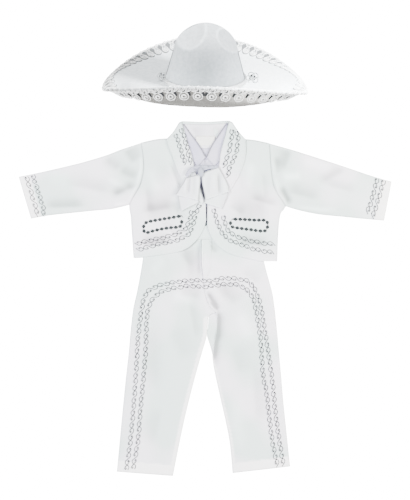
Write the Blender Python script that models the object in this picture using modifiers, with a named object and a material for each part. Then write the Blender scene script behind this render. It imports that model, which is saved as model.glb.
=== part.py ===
"""White charro suit in a toddler's size, set out: sombrero, short jacket, shirt, bow tie and trousers.

The clothes lie flat, front up, and the sombrero stands on its back rim above the collar.
+X is the wearer's left, +Y runs from the trouser hems to the hat and +Z is up off the surface.
Tables are in millimetres and the meshes in metres.
"""
import math

import bmesh
import bpy
from mathutils import Matrix, Vector

MM = 0.001
WALL = 1.5              # suiting cloth
THIN = 1.0              # shirt, tie and label cloth
SEAM = 0.3              # between sewn pieces, and between layers
OVER = WALL + SEAM      # underside of a piece that lies on a panel on the floor
FELT = 2.0              # hat felt
CROWN_FOOT = 1.9        # the crown's outline starts this far above the brim's middle

TROUSER_LOFT = 2.4      # how far a trouser front stands off its back
TROUSER_ROLL = 16.0     # width over which it comes down to a seam
SLEEVE_LOFT = 3.2
SLEEVE_ROLL = 18.0
CHEST_LOFT = 3.4        # further rise of the jacket fronts over shirt and trousers
CHEST_ROLL = 40.0
SHIRT_LOFT = 1.2
SHIRT_INSET = 14.0      # the shirt's body is this much narrower than the jacket's

WAIST_Y = 30.0          # seam between trousers and waistband
WAISTBAND = 28.0
JACKET_HEM_Y = -20.0    # the trouser backs are up on the jacket's back by here
STEP_RUN = 25.0         # length of that step
SHIRT_HEM_Y = 64.0
SHIRT_TIP_Y = 216.0     # outer ends of the shirt's shoulders

TO_ORIGIN = (-0.5, -0.9, 0.0)   # from the tables' place to the middle of the footprint

WHITE = (0.86, 0.87, 0.90)
SHIRT_WHITE = (0.80, 0.80, 0.88)
TIE_WHITE = (0.84, 0.85, 0.90)
FELT_WHITE = (0.84, 0.86, 0.86)
LACE_WHITE = (0.90, 0.91, 0.92)

# Side seam and armhole of each half, from hem to shoulder, with the front edge and neck beside it.
# Columns: side_x, side_y, front_x, front_y. Row UNDERARM is where side seam and armhole meet.
UNDERARM = 4
JACKET_RIGHT = [
    (-149, -9, 2.0, 68),
    (-151, 22, 2.0, 78),
    (-153, 50, 2.0, 88),
    (-155, 80, 1.5, 97),
    (-158, 102, 1.0, 107),
    (-147, 124, -8, 130),
    (-136, 143, -18, 152),
    (-129, 172, -32, 183),
    (-129, 201, -45, 214),
    (-134, 232, -60, 241.5),
]
JACKET_LEFT = [
    (151, -16, 5.0, 58),
    (152, 18, 5.0, 70),
    (153.5, 50, 5.0, 82),
    (158, 84, 5.5, 94),
    (169, 99, 6.0, 106),
    (156, 120, 14, 126),
    (144, 143, 24, 150),
    (139, 175, 38, 183),
    (137, 201, 47, 214),
    (135, 231, 62, 240.5),
]
# Columns: x, y
HEM_RIGHT = [(-149, -9), (-108, -5), (-59, 3), (-36, 12), (-17, 29), (-4, 49), (2.0, 68)]
HEM_LEFT = [(151, -16), (120, -16), (84, -9), (53, -1), (30, 14), (13, 35), (5.0, 58)]
SHOULDER_RIGHT = [(-134, 232), (-99, 239.5), (-60, 241.5)]
SHOULDER_LEFT = [(135, 231), (100, 238), (62, 240.5)]
BACK_NECK = [(-99, 239.5), (-60, 241.5), (-46, 243), (-25, 238), (0, 236), (25, 238), (47, 243), (62, 240.5),
             (100, 238)]
BACK_HEM = [(75, -11), (0, -9), (-75, -5)]
COLLAR_BACK_TOP = [(57, 276), (48, 279), (0, 276.5), (-48, 278), (-55, 275)]

# Sleeve edges from armhole to cuff. Columns: under_x, under_y, top_x, top_y
SLEEVE_RIGHT = [
    (-158, 102, -134, 232),
    (-195, 93.5, -177, 218),
    (-231, 90, -208, 206),
    (-280, 85, -266, 189),
    (-330, 79.5, -345, 170.5),
    (-365, 73, -391, 161),
]
SLEEVE_LEFT = [
    (169, 99, 135, 231),
    (200, 90, 182, 218),
    (240, 82, 220, 206),
    (285, 77.5, 288, 184),
    (335, 72.5, 350, 163),
    (376, 69, 392, 151),
]
# Soft folds. Columns: x0, y0, x1, y1, half_width, height (below zero is a trough)
SLEEVE_FOLDS = [
    (-193, 118, -145, 138, 8, -3.0),
    (-211, 190, -142, 152, 9, -2.4),
    (-300, 150, -197, 118, 9, -1.6),
    (-330, 100, -249, 103, 8, -1.6),
    (-240, 165, -170, 150, 10, 1.6),
    (145, 212, 185, 176, 11, -2.6),
    (155, 140, 202, 104, 9, -3.0),
    (158, 168, 202, 158, 11, 1.8),
    (244, 148, 290, 176, 9, -2.2),
    (270, 120, 350, 108, 10, -1.2),
]
FRONT_FOLDS = [
    (-63, 165, -60, 120, 9, -1.4),
    (-120, 200, -95, 120, 12, 1.4),
    (-140, 92, -100, 75, 10, -1.4),
    (100, 205, 90, 125, 13, 1.4),
    (150, 95, 105, 72, 10, -1.6),
]
TROUSER_FOLDS = [
    (-5, -75, 14, -118, 8, -1.8),
    (25, -120, 27, -230, 8, -1.8),
    (-25, -110, -70, -100, 14, 1.2),
    (70, -130, 100, -190, 18, 1.2),
    (-110, -150, -110, -300, 22, -1.0),
    (105, -230, 112, -380, 20, -1.0),
]

# Trouser edges from waist to hem. Columns: outer_x, outer_y, inner_x, inner_y
# The fronts' inner edge is the centre seam down to row CROTCH, then the inseam.
CROTCH = 5
TROUSER_FRONT_RIGHT = [
    (-125, 30, -7.2, 30),
    (-129.5, -5, -7.2, -5),
    (-135, -40, -5.6, -40),
    (-142.5, -80, -1.0, -80),
    (-149, -108, 9, -110),
    (-151.5, -123, 23, -123),
    (-153.5, -138, 7, -134),
    (-157, -172, 4, -172),
    (-160, -208, -6, -208),
    (-166, -261, -21, -261),
    (-173.5, -336, -40, -336),
    (-180, -405, -56, -411),
    (-185, -458, -67, -467),
]
TROUSER_FRONT_LEFT = [
    (119, 30, -6.8, 30),
    (122, -5, -6.8, -5),
    (130, -40, -5.2, -40),
    (141, -80, -0.6, -80),
    (145.5, -108, 9.4, -110),
    (147.5, -123, 23.4, -123),
    (149, -138, 24.5, -138),
    (152.5, -172, 21, -172),
    (156, -212, 15.5, -212),
    (160, -254, 21.5, -254),
    (164.5, -308, 33.5, -308),
    (172.5, -385, 51, -390),
    (179, -447, 58, -461),
]
# The backs' seam runs lower, to row FORK. Columns: x, y
FORK = 7
BACK_SEAM = [(8, 30), (8, -5), (8, -40), (8, -80), (8, -110), (8, -123), (7, -140), (3.8, -172)]

# Shawl collar leaves, neck to point. Columns: inner_x, inner_y, outer_x, outer_y, inner_z, outer_z
COLLAR_RIGHT = [
    (-49, 277, -55, 274, 4.8, 2.0),
    (-44, 262, -67, 255, 6.0, 2.4),
    (-39, 245, -81, 240, 8.0, 4.4),
    (-34, 228, -76, 222, 9.8, 9.2),
    (-29, 212, -70, 207, 10.4, 10.4),
    (-25, 196, -64, 190, 10.4, 10.6),
    (-22, 181, -57, 172, 10.4, 10.6),
    (-16, 158, -47, 153, 10.4, 10.6),
    (-9, 134, -31, 129, 10.4, 10.6),
    (-2, 110, -6, 104, 10.4, 10.6),
]
COLLAR_LEFT = [
    (51, 279, 58, 275, 4.8, 2.0),
    (46, 262, 71, 256, 6.0, 2.4),
    (41, 243, 86, 239, 8.0, 4.4),
    (36, 225, 87, 219, 9.8, 9.4),
    (32, 208, 85, 200, 10.4, 10.4),
    (30, 190, 80, 182, 10.4, 10.6),
    (26, 170, 71, 162, 10.4, 10.6),
    (19, 142, 53, 133, 10.4, 10.6),
    (12, 120, 29, 112, 10.4, 10.6),
    (8, 107, 13, 101, 10.4, 10.6),
]
LEAF_CROWN = 0.7        # rise of a leaf's middle
SHIRT_LEAF_RIGHT = [
    (-44, 273, -47, 269, 3.2, 3.2),
    (-37, 263, -46, 256, 3.6, 3.4),
    (-30, 253, -44, 242, 4.6, 4.8),
    (-15, 233, -38, 222, 5.8, 5.9),
    (-5, 217, -31, 203, 5.9, 5.9),
    (2, 203.5, -14, 183, 5.9, 5.9),
]
SHIRT_LEAF_LEFT = [
    (46, 275, 49, 271, 3.2, 3.2),
    (38, 264, 48, 257, 3.6, 3.4),
    (30, 252, 45, 242, 4.6, 4.8),
    (16, 231, 40, 221, 5.8, 5.9),
    (8, 215, 36, 202, 5.9, 5.9),
    (3, 203, 20, 182, 5.9, 5.9),
]
SHIRT_NECK = [(-48, 232), (-24, 224), (0, 221), (25, 224), (50, 232)]
SHIRT_STAND_TOP = [(48, 273.5), (0, 271.5), (-46, 272.5)]
SHIRT_V_Y = 196.0       # foot of the shirt's neck opening
LABEL = dict(x0=-19, x1=21, y0=227, y1=247)

# Tie pieces, top edge to free edge. Columns: left_x, left_y, right_x, right_y
BOW_Z = 13.2
PLEAT = 2.2             # height of a pleat at a free edge
GATHERED = 0.35         # share of it that is left at the gathered edge
LOOP_STEP = 2.8         # from the tails' underside to the loops'
BAND_STEP = 2.1         # from the loops' underside to the neck band's
LOOP_RIGHT = [(-40, 159, -10, 167), (-47, 146, -10, 150), (-55, 134, -12, 130), (-62, 123, -13.5, 111)]
LOOP_LEFT = [(-7.5, 168, 29, 182), (-6, 150, 40, 162), (-2, 131, 49, 143), (2, 113, 51, 130)]
TAIL_RIGHT = [(-52, 134, -13, 128), (-56, 120, -12, 119), (-50, 89, -13, 108)]
TAIL_LEFT = [(0, 126, 46, 138), (0, 115, 48, 124), (-1, 106.5, 35, 94)]
TIE_BAND = [(-42, 164, -37, 159), (-31, 179, -26, 171), (-11, 185, -9, 172), (10, 185, 9, 177), (27, 185, 27, 179)]
KNOT = dict(x=-8.5, y=171, half_width=6.5, half_length=10.5, height=4.5)

HAT_TILT = math.radians(22)     # the crown's axis leans this far up from +Y
HAT_CENTRE = (0.4, 352.0, 174.8)      # middle of the crown's foot; the back rim just rests
RIM_SIDE = 206.5                # rim radius at the sides
RIM_FRONT = 198.0               # and at front and back, where the brim curls up
RIM_DROOP = -18.0               # rim height at the sides
RISE_FRONT = 51.0
RISE_BACK = 31.0
CURL = 1.7                      # exponent of the curl
HEAD_RADIUS = 80.5              # inside of the brim's hole
BRIM_REACH = (0.0, 9.0, 20.0, 34.0, 48.0)     # rings of the brim, along the felt from the rim
BRIM_STEPS = 66
CROWN_STEPS = 36
# Crown outline. Columns: height, radius
CROWN = [(0, 83), (26, 76), (60, 67), (81, 61), (94, 53), (104, 42.5), (112, 30), (117, 17.5), (119.5, 6), (120, 0)]
# Dents, each an oval on the crown. Columns: turn from the front in degrees, height, half_turn, half_height, depth
DENTS = [(34, 84, 30, 34, 15), (-36, 80, 28, 30, 8), (150, 82, 32, 32, 10), (-150, 82, 32, 32, 10)]
GALLOON_TONGUES = 44
GALLOON_PHASES = (0.0, 1.0, 1.0)        # a notch and the two corners of a tongue
GALLOON_TOP = (15.5, 6.0)               # reach over the brim at a notch, and what a tongue adds
GALLOON_UNDER = (25.5, 6.0)
GALLOON_WALL = 1.2
GALLOON_GAP = 1.25
BRAID = dict(height=9.0, thickness=2.4, steps=40)
LOOP_KNOT = dict(major=6.5, minor=1.9)


def smooth(value):
    """Ease from 0 to 1."""
    value = min(max(value, 0.0), 1.0)
    return value * value * (3 - 2 * value)


def curve_through(points, per_span):
    """Smooth curve through the points, with per_span samples for each span."""
    points = [Vector(point) for point in points]
    ends = [points[0] * 2 - points[1]] + points + [points[-1] * 2 - points[-2]]
    samples = []
    for a, b, c, d in zip(ends, ends[1:], ends[2:], ends[3:]):
        for step in range(per_span):
            t = step / per_span
            samples.append(0.5 * (2 * b + (c - a) * t + (2 * a - 5 * b + 4 * c - d) * t * t
                                  + (3 * b - a - 3 * c + d) * t * t * t))
    return samples + [points[-1]]


def edge_through(points, per_span, corners=()):
    """Curve through the points that turns sharply at the corner rows."""
    stops = [0, *corners, len(points) - 1]
    samples = []
    for start, stop in zip(stops, stops[1:]):
        samples = samples[:-1] + curve_through(points[start:stop + 1], per_span)
    return samples


def fractions(points):
    """Share of the length at which each point lies."""
    lengths = [0.0]
    for a, b in zip(points, points[1:]):
        lengths.append(lengths[-1] + (b - a).length)
    return [length / lengths[-1] for length in lengths]


def resample(points, count):
    """count + 1 points at even steps along a curve through the points."""
    fine = curve_through(points, 12)
    share = fractions(fine)
    samples = []
    for step in range(count + 1):
        target = step / count
        index = max(1, next(i for i, value in enumerate(share) if value >= target - 1e-9))
        part = (target - share[index - 1]) / (share[index] - share[index - 1])
        samples.append(fine[index - 1].lerp(fine[index], part))
    return samples


def straight(start, end, count):
    return [start.lerp(end, step / count) for step in range(count + 1)]


def fill_between(left, right, bottom, top):
    """Grid inside four edges that share their corners: left and right run up, bottom and top run across."""
    up = [(a + b) / 2 for a, b in zip(fractions(left), fractions(right))]
    across = [(a + b) / 2 for a, b in zip(fractions(bottom), fractions(top))]
    grid = []
    for i, t in enumerate(up):
        row = []
        for j, s in enumerate(across):
            ruled = left[i].lerp(right[i], s) + bottom[j].lerp(top[j], t)
            corners = bottom[0].lerp(bottom[-1], s).lerp(top[0].lerp(top[-1], s), t)
            row.append(ruled - corners)
        grid.append(row)
    return grid


def ruled(table, per_span, columns, corners=()):
    """Grid between two edges given row by row; the second edge may have corners."""
    edge_a = curve_through([row[0:2] for row in table], per_span)
    edge_b = edge_through([row[2:4] for row in table], per_span, corners)
    return [straight(a, b, columns) for a, b in zip(edge_a, edge_b)]


def distance_to(point, edge):
    """Distance from a point to a polyline."""
    nearest = 1e9
    for a, b in zip(edge, edge[1:]):
        along = b - a
        share = min(max((point - a).dot(along) / along.length_squared, 0.0), 1.0)
        nearest = min(nearest, (point - a - along * share).length)
    return nearest


def folds_at(point, folds):
    """Height that soft troughs and ridges add at a point."""
    height = 0.0
    for x0, y0, x1, y1, half_width, rise in folds:
        gap = distance_to(point, [Vector((x0, y0)), Vector((x1, y1))])
        height += rise * math.exp(-(gap / half_width) ** 2)
    return height


def material(name, colour, roughness):
    shader = bpy.data.materials.new(name)
    shader.use_nodes = True
    principled = shader.node_tree.nodes["Principled BSDF"]
    principled.inputs["Base Color"].default_value = (*colour, 1)
    principled.inputs["Roughness"].default_value = roughness
    principled.inputs["Metallic"].default_value = 0.0
    return shader


def add_object(name, data, colour, roughness=0.85):
    """Link a mesh or curve into the suit's collection with its own material."""
    item = bpy.data.objects.new(name, data)
    data.materials.append(material(name, colour, roughness))
    bpy.data.collections["charro_suit"].objects.link(item)
    return item


def add_cloth(name, grid, height, colour, wall=WALL, closed=False):
    """Cloth wall: a sheet at height(point) above the floor, thickened straight up."""
    work = bmesh.new()
    rows = [[work.verts.new((p.x * MM, p.y * MM, height(p) * MM)) for p in row] for row in grid]
    for row_a, row_b in zip(rows, rows[1:]):
        for a, b, c, d in zip(row_a, row_a[1:], row_b[1:], row_b):
            work.faces.new((a, b, c, d))
    grown = bmesh.ops.extrude_face_region(work, geom=work.faces[:])
    raised = [item for item in grown["geom"] if isinstance(item, bmesh.types.BMVert)]
    bmesh.ops.translate(work, verts=raised, vec=(0, 0, wall * MM))
    bmesh.ops.recalc_face_normals(work, faces=work.faces[:])
    mesh = bpy.data.meshes.new(name)
    work.to_mesh(mesh)
    work.free()
    mesh.shade_smooth()
    mesh.set_sharp_from_angle(angle=math.radians(50))
    return add_object(name, mesh, colour)


def add_flat(name, outline, base, colour, wall=WALL):
    """Flat panel of cloth cut to an outline, with its underside at base."""
    curve = bpy.data.curves.new(name, "CURVE")
    curve.dimensions = "2D"
    curve.fill_mode = "BOTH"
    curve.extrude = wall / 2 * MM
    spline = curve.splines.new("POLY")
    spline.points.add(len(outline) - 1)
    for point, place in zip(spline.points, outline):
        point.co = (place.x * MM, place.y * MM, 0, 1)
    spline.use_cyclic_u = True
    item = add_object(name, curve, colour)
    item.location.z = (base + wall / 2) * MM
    return item


def vectors(points):
    return [Vector(point) for point in points]


def jacket_half(table, hem, shoulder):
    """Edges of one half of the jacket, sampled alike for every piece that meets there."""
    side = curve_through([row[0:2] for row in table], 2)
    return dict(
        side=side[:2 * UNDERARM + 1],
        armhole=side[2 * UNDERARM:],
        edge=side,
        front=curve_through([row[2:4] for row in table], 2),
        hem=resample(hem, 9),
        shoulder=resample(shoulder, 9),
    )


def chest_height(half, folds):
    """Underside of a jacket front: down on the back at its seams, up over shirt and trousers inside."""
    seams = [half["side"], half["shoulder"]]

    def height(point):
        low = min(distance_to(point, seam) for seam in seams)
        rim = min(distance_to(point, half["edge"]), distance_to(point, half["shoulder"]))
        rise = SLEEVE_LOFT * smooth(low / SLEEVE_ROLL) + CHEST_LOFT * smooth(rim / CHEST_ROLL)
        return OVER + rise + folds_at(point, folds) * smooth(low / CHEST_ROLL) ** 2 * 0.5
    return height


def sleeve_height(lower, upper):
    """Underside of a top sleeve: down on the under sleeve along both long edges."""
    def height(point):
        low = min(distance_to(point, lower), distance_to(point, upper))
        ease = smooth(low / SLEEVE_ROLL)
        return OVER + max(0.0, SLEEVE_LOFT * ease + folds_at(point, SLEEVE_FOLDS) * ease)
    return height


def build_jacket():
    halves = {
        "right": jacket_half(JACKET_RIGHT, HEM_RIGHT, SHOULDER_RIGHT),
        "left": jacket_half(JACKET_LEFT, HEM_LEFT, SHOULDER_LEFT),
    }
    sleeves = {"right": (SLEEVE_RIGHT, -1), "left": (SLEEVE_LEFT, 1)}
    outline = halves["left"]["edge"][::-1] + vectors(BACK_HEM) + halves["right"]["edge"] + vectors(BACK_NECK)
    add_flat("jacket_back", outline, 0, WHITE)
    for side, half in halves.items():
        grid = fill_between(half["edge"], half["front"], half["hem"], half["shoulder"])
        add_cloth(f"jacket_front_{side}", grid, chest_height(half, FRONT_FOLDS), WHITE)
        table, outward = sleeves[side]
        seam = Vector((outward * 1.4 * SEAM, 0))
        armhole = [point + seam for point in half["armhole"]]
        lower = curve_through([row[0:2] for row in table], 2)
        upper = curve_through([row[2:4] for row in table], 2)
        lower[0], upper[0] = armhole[0], armhole[-1]
        cuff = straight(lower[-1], upper[-1], len(armhole) - 1)
        grid = fill_between(lower, upper, armhole, cuff)
        add_cloth(f"jacket_sleeve_top_{side}", grid, sleeve_height(lower, upper), WHITE)
        add_flat(f"jacket_sleeve_under_{side}", lower[:0:-1] + armhole + upper[1:], 0, WHITE)
    return halves


def add_leaf(name, table, columns, colour, wall):
    """Collar leaf or similar strip whose heights are in its table, a little crowned across."""
    grid = ruled(table, 1, columns)
    heights = vectors([row[4:6] for row in table])
    levels = {}
    for row, level in zip(grid, heights):
        for column, point in enumerate(row):
            share = column / columns
            crown = LEAF_CROWN * math.sin(math.pi * share)
            levels[point.freeze()] = level.x + (level.y - level.x) * share + crown
    return add_cloth(name, grid, lambda point: levels[point], colour, wall)


def build_collars():
    add_leaf("jacket_collar_right", COLLAR_RIGHT, 4, WHITE, WALL)
    add_leaf("jacket_collar_left", COLLAR_LEFT, 4, WHITE, WALL)
    neck = [point + Vector((0, SEAM)) for point in vectors(BACK_NECK[1:-1])]
    add_flat("jacket_collar_back", neck + vectors(COLLAR_BACK_TOP), 0, WHITE)
    add_leaf("shirt_collar_right", SHIRT_LEAF_RIGHT, 3, SHIRT_WHITE, THIN)
    add_leaf("shirt_collar_left", SHIRT_LEAF_LEFT, 3, SHIRT_WHITE, THIN)
    stand = [point + Vector((0, SEAM)) for point in vectors(SHIRT_NECK)] + vectors(SHIRT_STAND_TOP)
    add_flat("shirt_collar_back", stand, OVER, SHIRT_WHITE, THIN)
    corners = [(LABEL["x0"], LABEL["y0"]), (LABEL["x1"], LABEL["y0"]), (LABEL["x1"], LABEL["y1"]),
               (LABEL["x0"], LABEL["y1"])]
    add_flat("neck_label", vectors(corners), OVER + THIN + SEAM, LACE_WHITE, THIN)


def build_shirt(halves):
    """Shirt body inside the jacket, narrower by SHIRT_INSET and stopped above the waistband."""
    sides = {}
    for side, outward in (("right", -1), ("left", 1)):
        inset = Vector((-outward * SHIRT_INSET, 0))
        edge = [point + inset for point in halves[side]["edge"] if SHIRT_HEM_Y + 8 < point.y < SHIRT_TIP_Y - 5]
        foot = Vector((edge[0].x, SHIRT_HEM_Y))
        tip = Vector((edge[-1].x, SHIRT_TIP_Y))
        sides[side] = [foot] + edge + [tip]
    neck = vectors(SHIRT_NECK)
    add_flat("shirt_back", sides["left"][::-1] + sides["right"] + neck, OVER, SHIRT_WHITE, THIN)
    for side, outward in (("right", -1), ("left", 1)):
        edge = sides[side]
        centre = outward * SEAM / 2
        count = len(edge) - 1
        front = straight(Vector((centre, SHIRT_HEM_Y)), Vector((centre, SHIRT_V_Y)), count)
        collar_end = Vector((outward * 49, SHIRT_TIP_Y + 7))
        top = straight(edge[-1], collar_end, 2) + straight(collar_end, front[-1], 3)[1:]
        hem = straight(edge[0], front[0], 5)
        grid = fill_between(edge, front, hem, top)
        base = OVER + THIN + SEAM
        add_cloth(f"shirt_front_{side}", grid,
                  lambda point, edge=edge: base + SHIRT_LOFT * smooth(distance_to(point, edge) / 30),
                  SHIRT_WHITE, THIN)


def trouser_base(y):
    """Underside of the trouser backs: on the floor, and up on the jacket's back above its hem."""
    return OVER * smooth((y - JACKET_HEM_Y + STEP_RUN) / STEP_RUN)


def trouser_front_height(edges):
    def height(point):
        low = min(distance_to(point, edge) for edge in edges)
        ease = smooth(low / TROUSER_ROLL)
        rise = TROUSER_LOFT * ease + folds_at(point, TROUSER_FOLDS) * ease * 0.6
        return trouser_base(point.y) + OVER + max(0.0, rise)
    return height


def build_trousers():
    fronts = {"right": TROUSER_FRONT_RIGHT, "left": TROUSER_FRONT_LEFT}
    heights = {}
    for side, table in fronts.items():
        gap = 0 if side == "right" else 1.4 * SEAM
        back = [(*row[:2], x + gap, y) for row, (x, y) in zip(table, BACK_SEAM)] + table[FORK + 1:]
        add_cloth(f"trouser_back_{side}", ruled(back, 2, 3, [FORK]), lambda point: trouser_base(point.y), WHITE)
        outseam = curve_through([row[0:2] for row in table], 4)
        inseam = curve_through([row[2:4] for row in table[CROTCH + 1:]], 4)
        heights[side] = trouser_front_height([outseam, inseam])
        add_cloth(f"trouser_front_{side}", ruled(table, 2, 8, [CROTCH]), heights[side], WHITE)

    def band_height(point):
        low = min(point.x - TROUSER_FRONT_RIGHT[0][0], TROUSER_FRONT_LEFT[0][0] - point.x)
        return 2 * OVER + TROUSER_LOFT * smooth(low / TROUSER_ROLL)

    foot = WAIST_Y + SEAM
    left_x, right_x = TROUSER_FRONT_RIGHT[0][0], TROUSER_FRONT_LEFT[0][0]
    band = [straight(Vector((left_x, y)), Vector((right_x, y)), 24) for y in (foot, foot + WAISTBAND)]
    add_cloth("trouser_waistband_front", band, band_height, WHITE)
    add_flat("trouser_waistband_back", [band[0][0], band[0][-1], band[1][-1], band[1][0]], OVER, WHITE)
    fly = ruled([(-6.6, 29, 13, 29), (-6.6, 0, 13, 0), (-5.4, -30, 12, -30), (-2.6, -54, 3, -54)], 3, 3)
    add_cloth("trouser_fly", fly, lambda point: heights["left"](point) + WALL + SEAM, WHITE, THIN)


def build_tie():
    def hang(name, table, base, pleats):
        """Floppy loop or tail: pleats run from its gathered top edge to its free edge."""
        grid = ruled(table, 2, 10)
        levels = {}
        for i, row in enumerate(grid):
            opening = i / (len(grid) - 1)
            for column, point in enumerate(row):
                wave = 0.5 - 0.5 * math.cos(2 * math.pi * pleats * column / 10)
                levels[point.freeze()] = base + PLEAT * wave * (GATHERED + (1 - GATHERED) * opening)
        add_cloth(name, grid, lambda point: levels[point], TIE_WHITE, THIN)

    hang("bow_tail_right", TAIL_RIGHT, BOW_Z, 1)
    hang("bow_tail_left", TAIL_LEFT, BOW_Z, 1)
    loop_base = BOW_Z + LOOP_STEP
    hang("bow_loop_right", LOOP_RIGHT, loop_base, 2)
    hang("bow_loop_left", LOOP_LEFT, loop_base, 2)
    band_base = loop_base + BAND_STEP
    band = ruled(TIE_BAND, 3, 3)
    add_cloth("bow_band", band, lambda point: band_base, TIE_WHITE, WALL)
    mesh = bpy.data.meshes.new("bow_knot")
    work = bmesh.new()
    bmesh.ops.create_uvsphere(work, u_segments=12, v_segments=8, radius=1.0)
    scale = (KNOT["half_width"] * MM, KNOT["half_length"] * MM, KNOT["height"] / 2 * MM)
    bmesh.ops.scale(work, verts=work.verts[:], vec=scale)
    work.to_mesh(mesh)
    work.free()
    mesh.shade_smooth()
    knot = add_object("bow_knot", mesh, TIE_WHITE)
    knot.location = (KNOT["x"] * MM, KNOT["y"] * MM, (band_base + WALL + SEAM + KNOT["height"] / 2) * MM)


def hat_matrix():
    """Hat space (x to the wearer's right, y to the front, z up the crown) to the suit's space."""
    up = Vector((0, math.cos(HAT_TILT), math.sin(HAT_TILT)))
    front = Vector((0, -math.sin(HAT_TILT), math.cos(HAT_TILT)))
    side = Vector((-1, 0, 0))
    turn = Matrix((side, front, up)).transposed()
    return Matrix.Translation(Vector(HAT_CENTRE) * MM) @ turn.to_4x4()


def brim_height(angle, radius):
    """Height of the brim's middle: flat, then curled up, most at the front and back."""
    toward = math.sin(angle)
    if toward >= 0:
        rim = RIM_DROOP + (RISE_FRONT - RIM_DROOP) * toward ** 1.25
        start = 184 - 20 * toward ** 3
    else:
        rim = RIM_DROOP + (RISE_BACK - RIM_DROOP) * abs(toward) ** 2.2
        start = 184 - 44 * toward ** 2
    edge = RIM_SIDE - (RIM_SIDE - RIM_FRONT) * toward ** 2
    return rim * max(0.0, (radius - start) / (edge - start)) ** CURL


def felt_stations(angle):
    """Points of the felt's middle at BRIM_REACH from the rim, as (radius, height)."""
    edge = RIM_SIDE - (RIM_SIDE - RIM_FRONT) * math.sin(angle) ** 2
    place = Vector((edge, brim_height(angle, edge)))
    stations = [place]
    length = 0.0
    for reach in BRIM_REACH[1:]:
        while length < reach:
            step = Vector((place.x - 0.25, brim_height(angle, place.x - 0.25)))
            length += (step - place).length
            place = step
        stations.append(place)
    return stations


def off_felt(stations, reach, face, layer):
    """Point a layer above (face 1) or below (face -1) the felt's facets, at a length from the rim."""
    runs = [(a - b).normalized() for a, b in zip(stations, stations[1:])]
    normals = [Vector((-run.y, run.x)) for run in runs]
    index = max(i for i, start in enumerate(BRIM_REACH[:-1]) if reach >= start)
    share = (reach - BRIM_REACH[index]) / (BRIM_REACH[index + 1] - BRIM_REACH[index])
    normal = normals[index]
    if share == 0 and index > 0:
        normal = (normals[index - 1] + normal).normalized()
        normal /= normal.dot(normals[index])
    point = stations[index].lerp(stations[index + 1], share) + normal * face * (FELT / 2 + layer)
    if reach == 0:
        point += runs[0] * layer
    return point


def add_ring(name, sections, colour, closed_section):
    """Loft round the crown's axis through sections of (radius, height) at even turns."""
    work = bmesh.new()
    rings = []
    for step, section in enumerate(sections):
        angle = 2 * math.pi * step / len(sections)
        rings.append([work.verts.new((r * math.cos(angle) * MM, r * math.sin(angle) * MM, h * MM))
                      for r, h in section])
    for ring_a, ring_b in zip(rings, rings[1:] + rings[:1]):
        pairs = list(zip(ring_a, ring_a[1:], ring_b[1:], ring_b))
        if closed_section:
            pairs.append((ring_a[-1], ring_a[0], ring_b[0], ring_b[-1]))
        for corners in pairs:
            work.faces.new(corners)
    bmesh.ops.recalc_face_normals(work, faces=work.faces[:])
    mesh = bpy.data.meshes.new(name)
    work.to_mesh(mesh)
    work.free()
    mesh.shade_smooth()
    mesh.set_sharp_from_angle(angle=math.radians(50))
    return add_object(name, mesh, colour, 0.95)


def stiffen(item, thickness, offset):
    wall = item.modifiers.new("felt", "SOLIDIFY")
    wall.thickness = thickness * MM
    wall.offset = offset
    wall.use_even_offset = False


def build_brim():
    sections = []
    for step in range(BRIM_STEPS):
        outer = felt_stations(2 * math.pi * step / BRIM_STEPS)[::-1]
        sections.append([(HEAD_RADIUS, 0.0), (118.0, 0.0)] + [tuple(point) for point in outer])
    brim = add_ring("hat_brim", sections, FELT_WHITE, False)
    stiffen(brim, FELT, 0.0)
    brim.matrix_world = hat_matrix()


def build_galloon():
    """Lace folded over the rim: tongues on the brim's face and longer ones on its underside."""
    sections = []
    stations_round = GALLOON_TONGUES * len(GALLOON_PHASES)
    for step in range(stations_round):
        phase = GALLOON_PHASES[step % len(GALLOON_PHASES)]
        stations = felt_stations(2 * math.pi * step / stations_round)
        top = GALLOON_TOP[0] + GALLOON_TOP[1] * phase
        under = GALLOON_UNDER[0] + GALLOON_UNDER[1] * phase
        path = [(top, 1)] + [(reach, 1) for reach in BRIM_REACH[1::-1]]
        path += [(reach, -1) for reach in BRIM_REACH[:3]] + [(under, -1)]
        outside = [off_felt(stations, reach, face, GALLOON_GAP + GALLOON_WALL) for reach, face in path]
        inside = [off_felt(stations, reach, face, GALLOON_GAP) for reach, face in path]
        sections.append([tuple(point) for point in outside + inside[::-1]])
    galloon = add_ring("hat_galloon", sections, LACE_WHITE, True)
    galloon.data.transform(hat_matrix())
    for vertex in galloon.data.vertices:
        vertex.co.z = max(vertex.co.z, 0.0)


def crown_radius(height):
    for (h0, r0), (h1, r1) in zip(CROWN, CROWN[1:]):
        if height <= h1:
            return r0 + (r1 - r0) * (height - h0) / (h1 - h0)
    return 0.0


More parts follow.
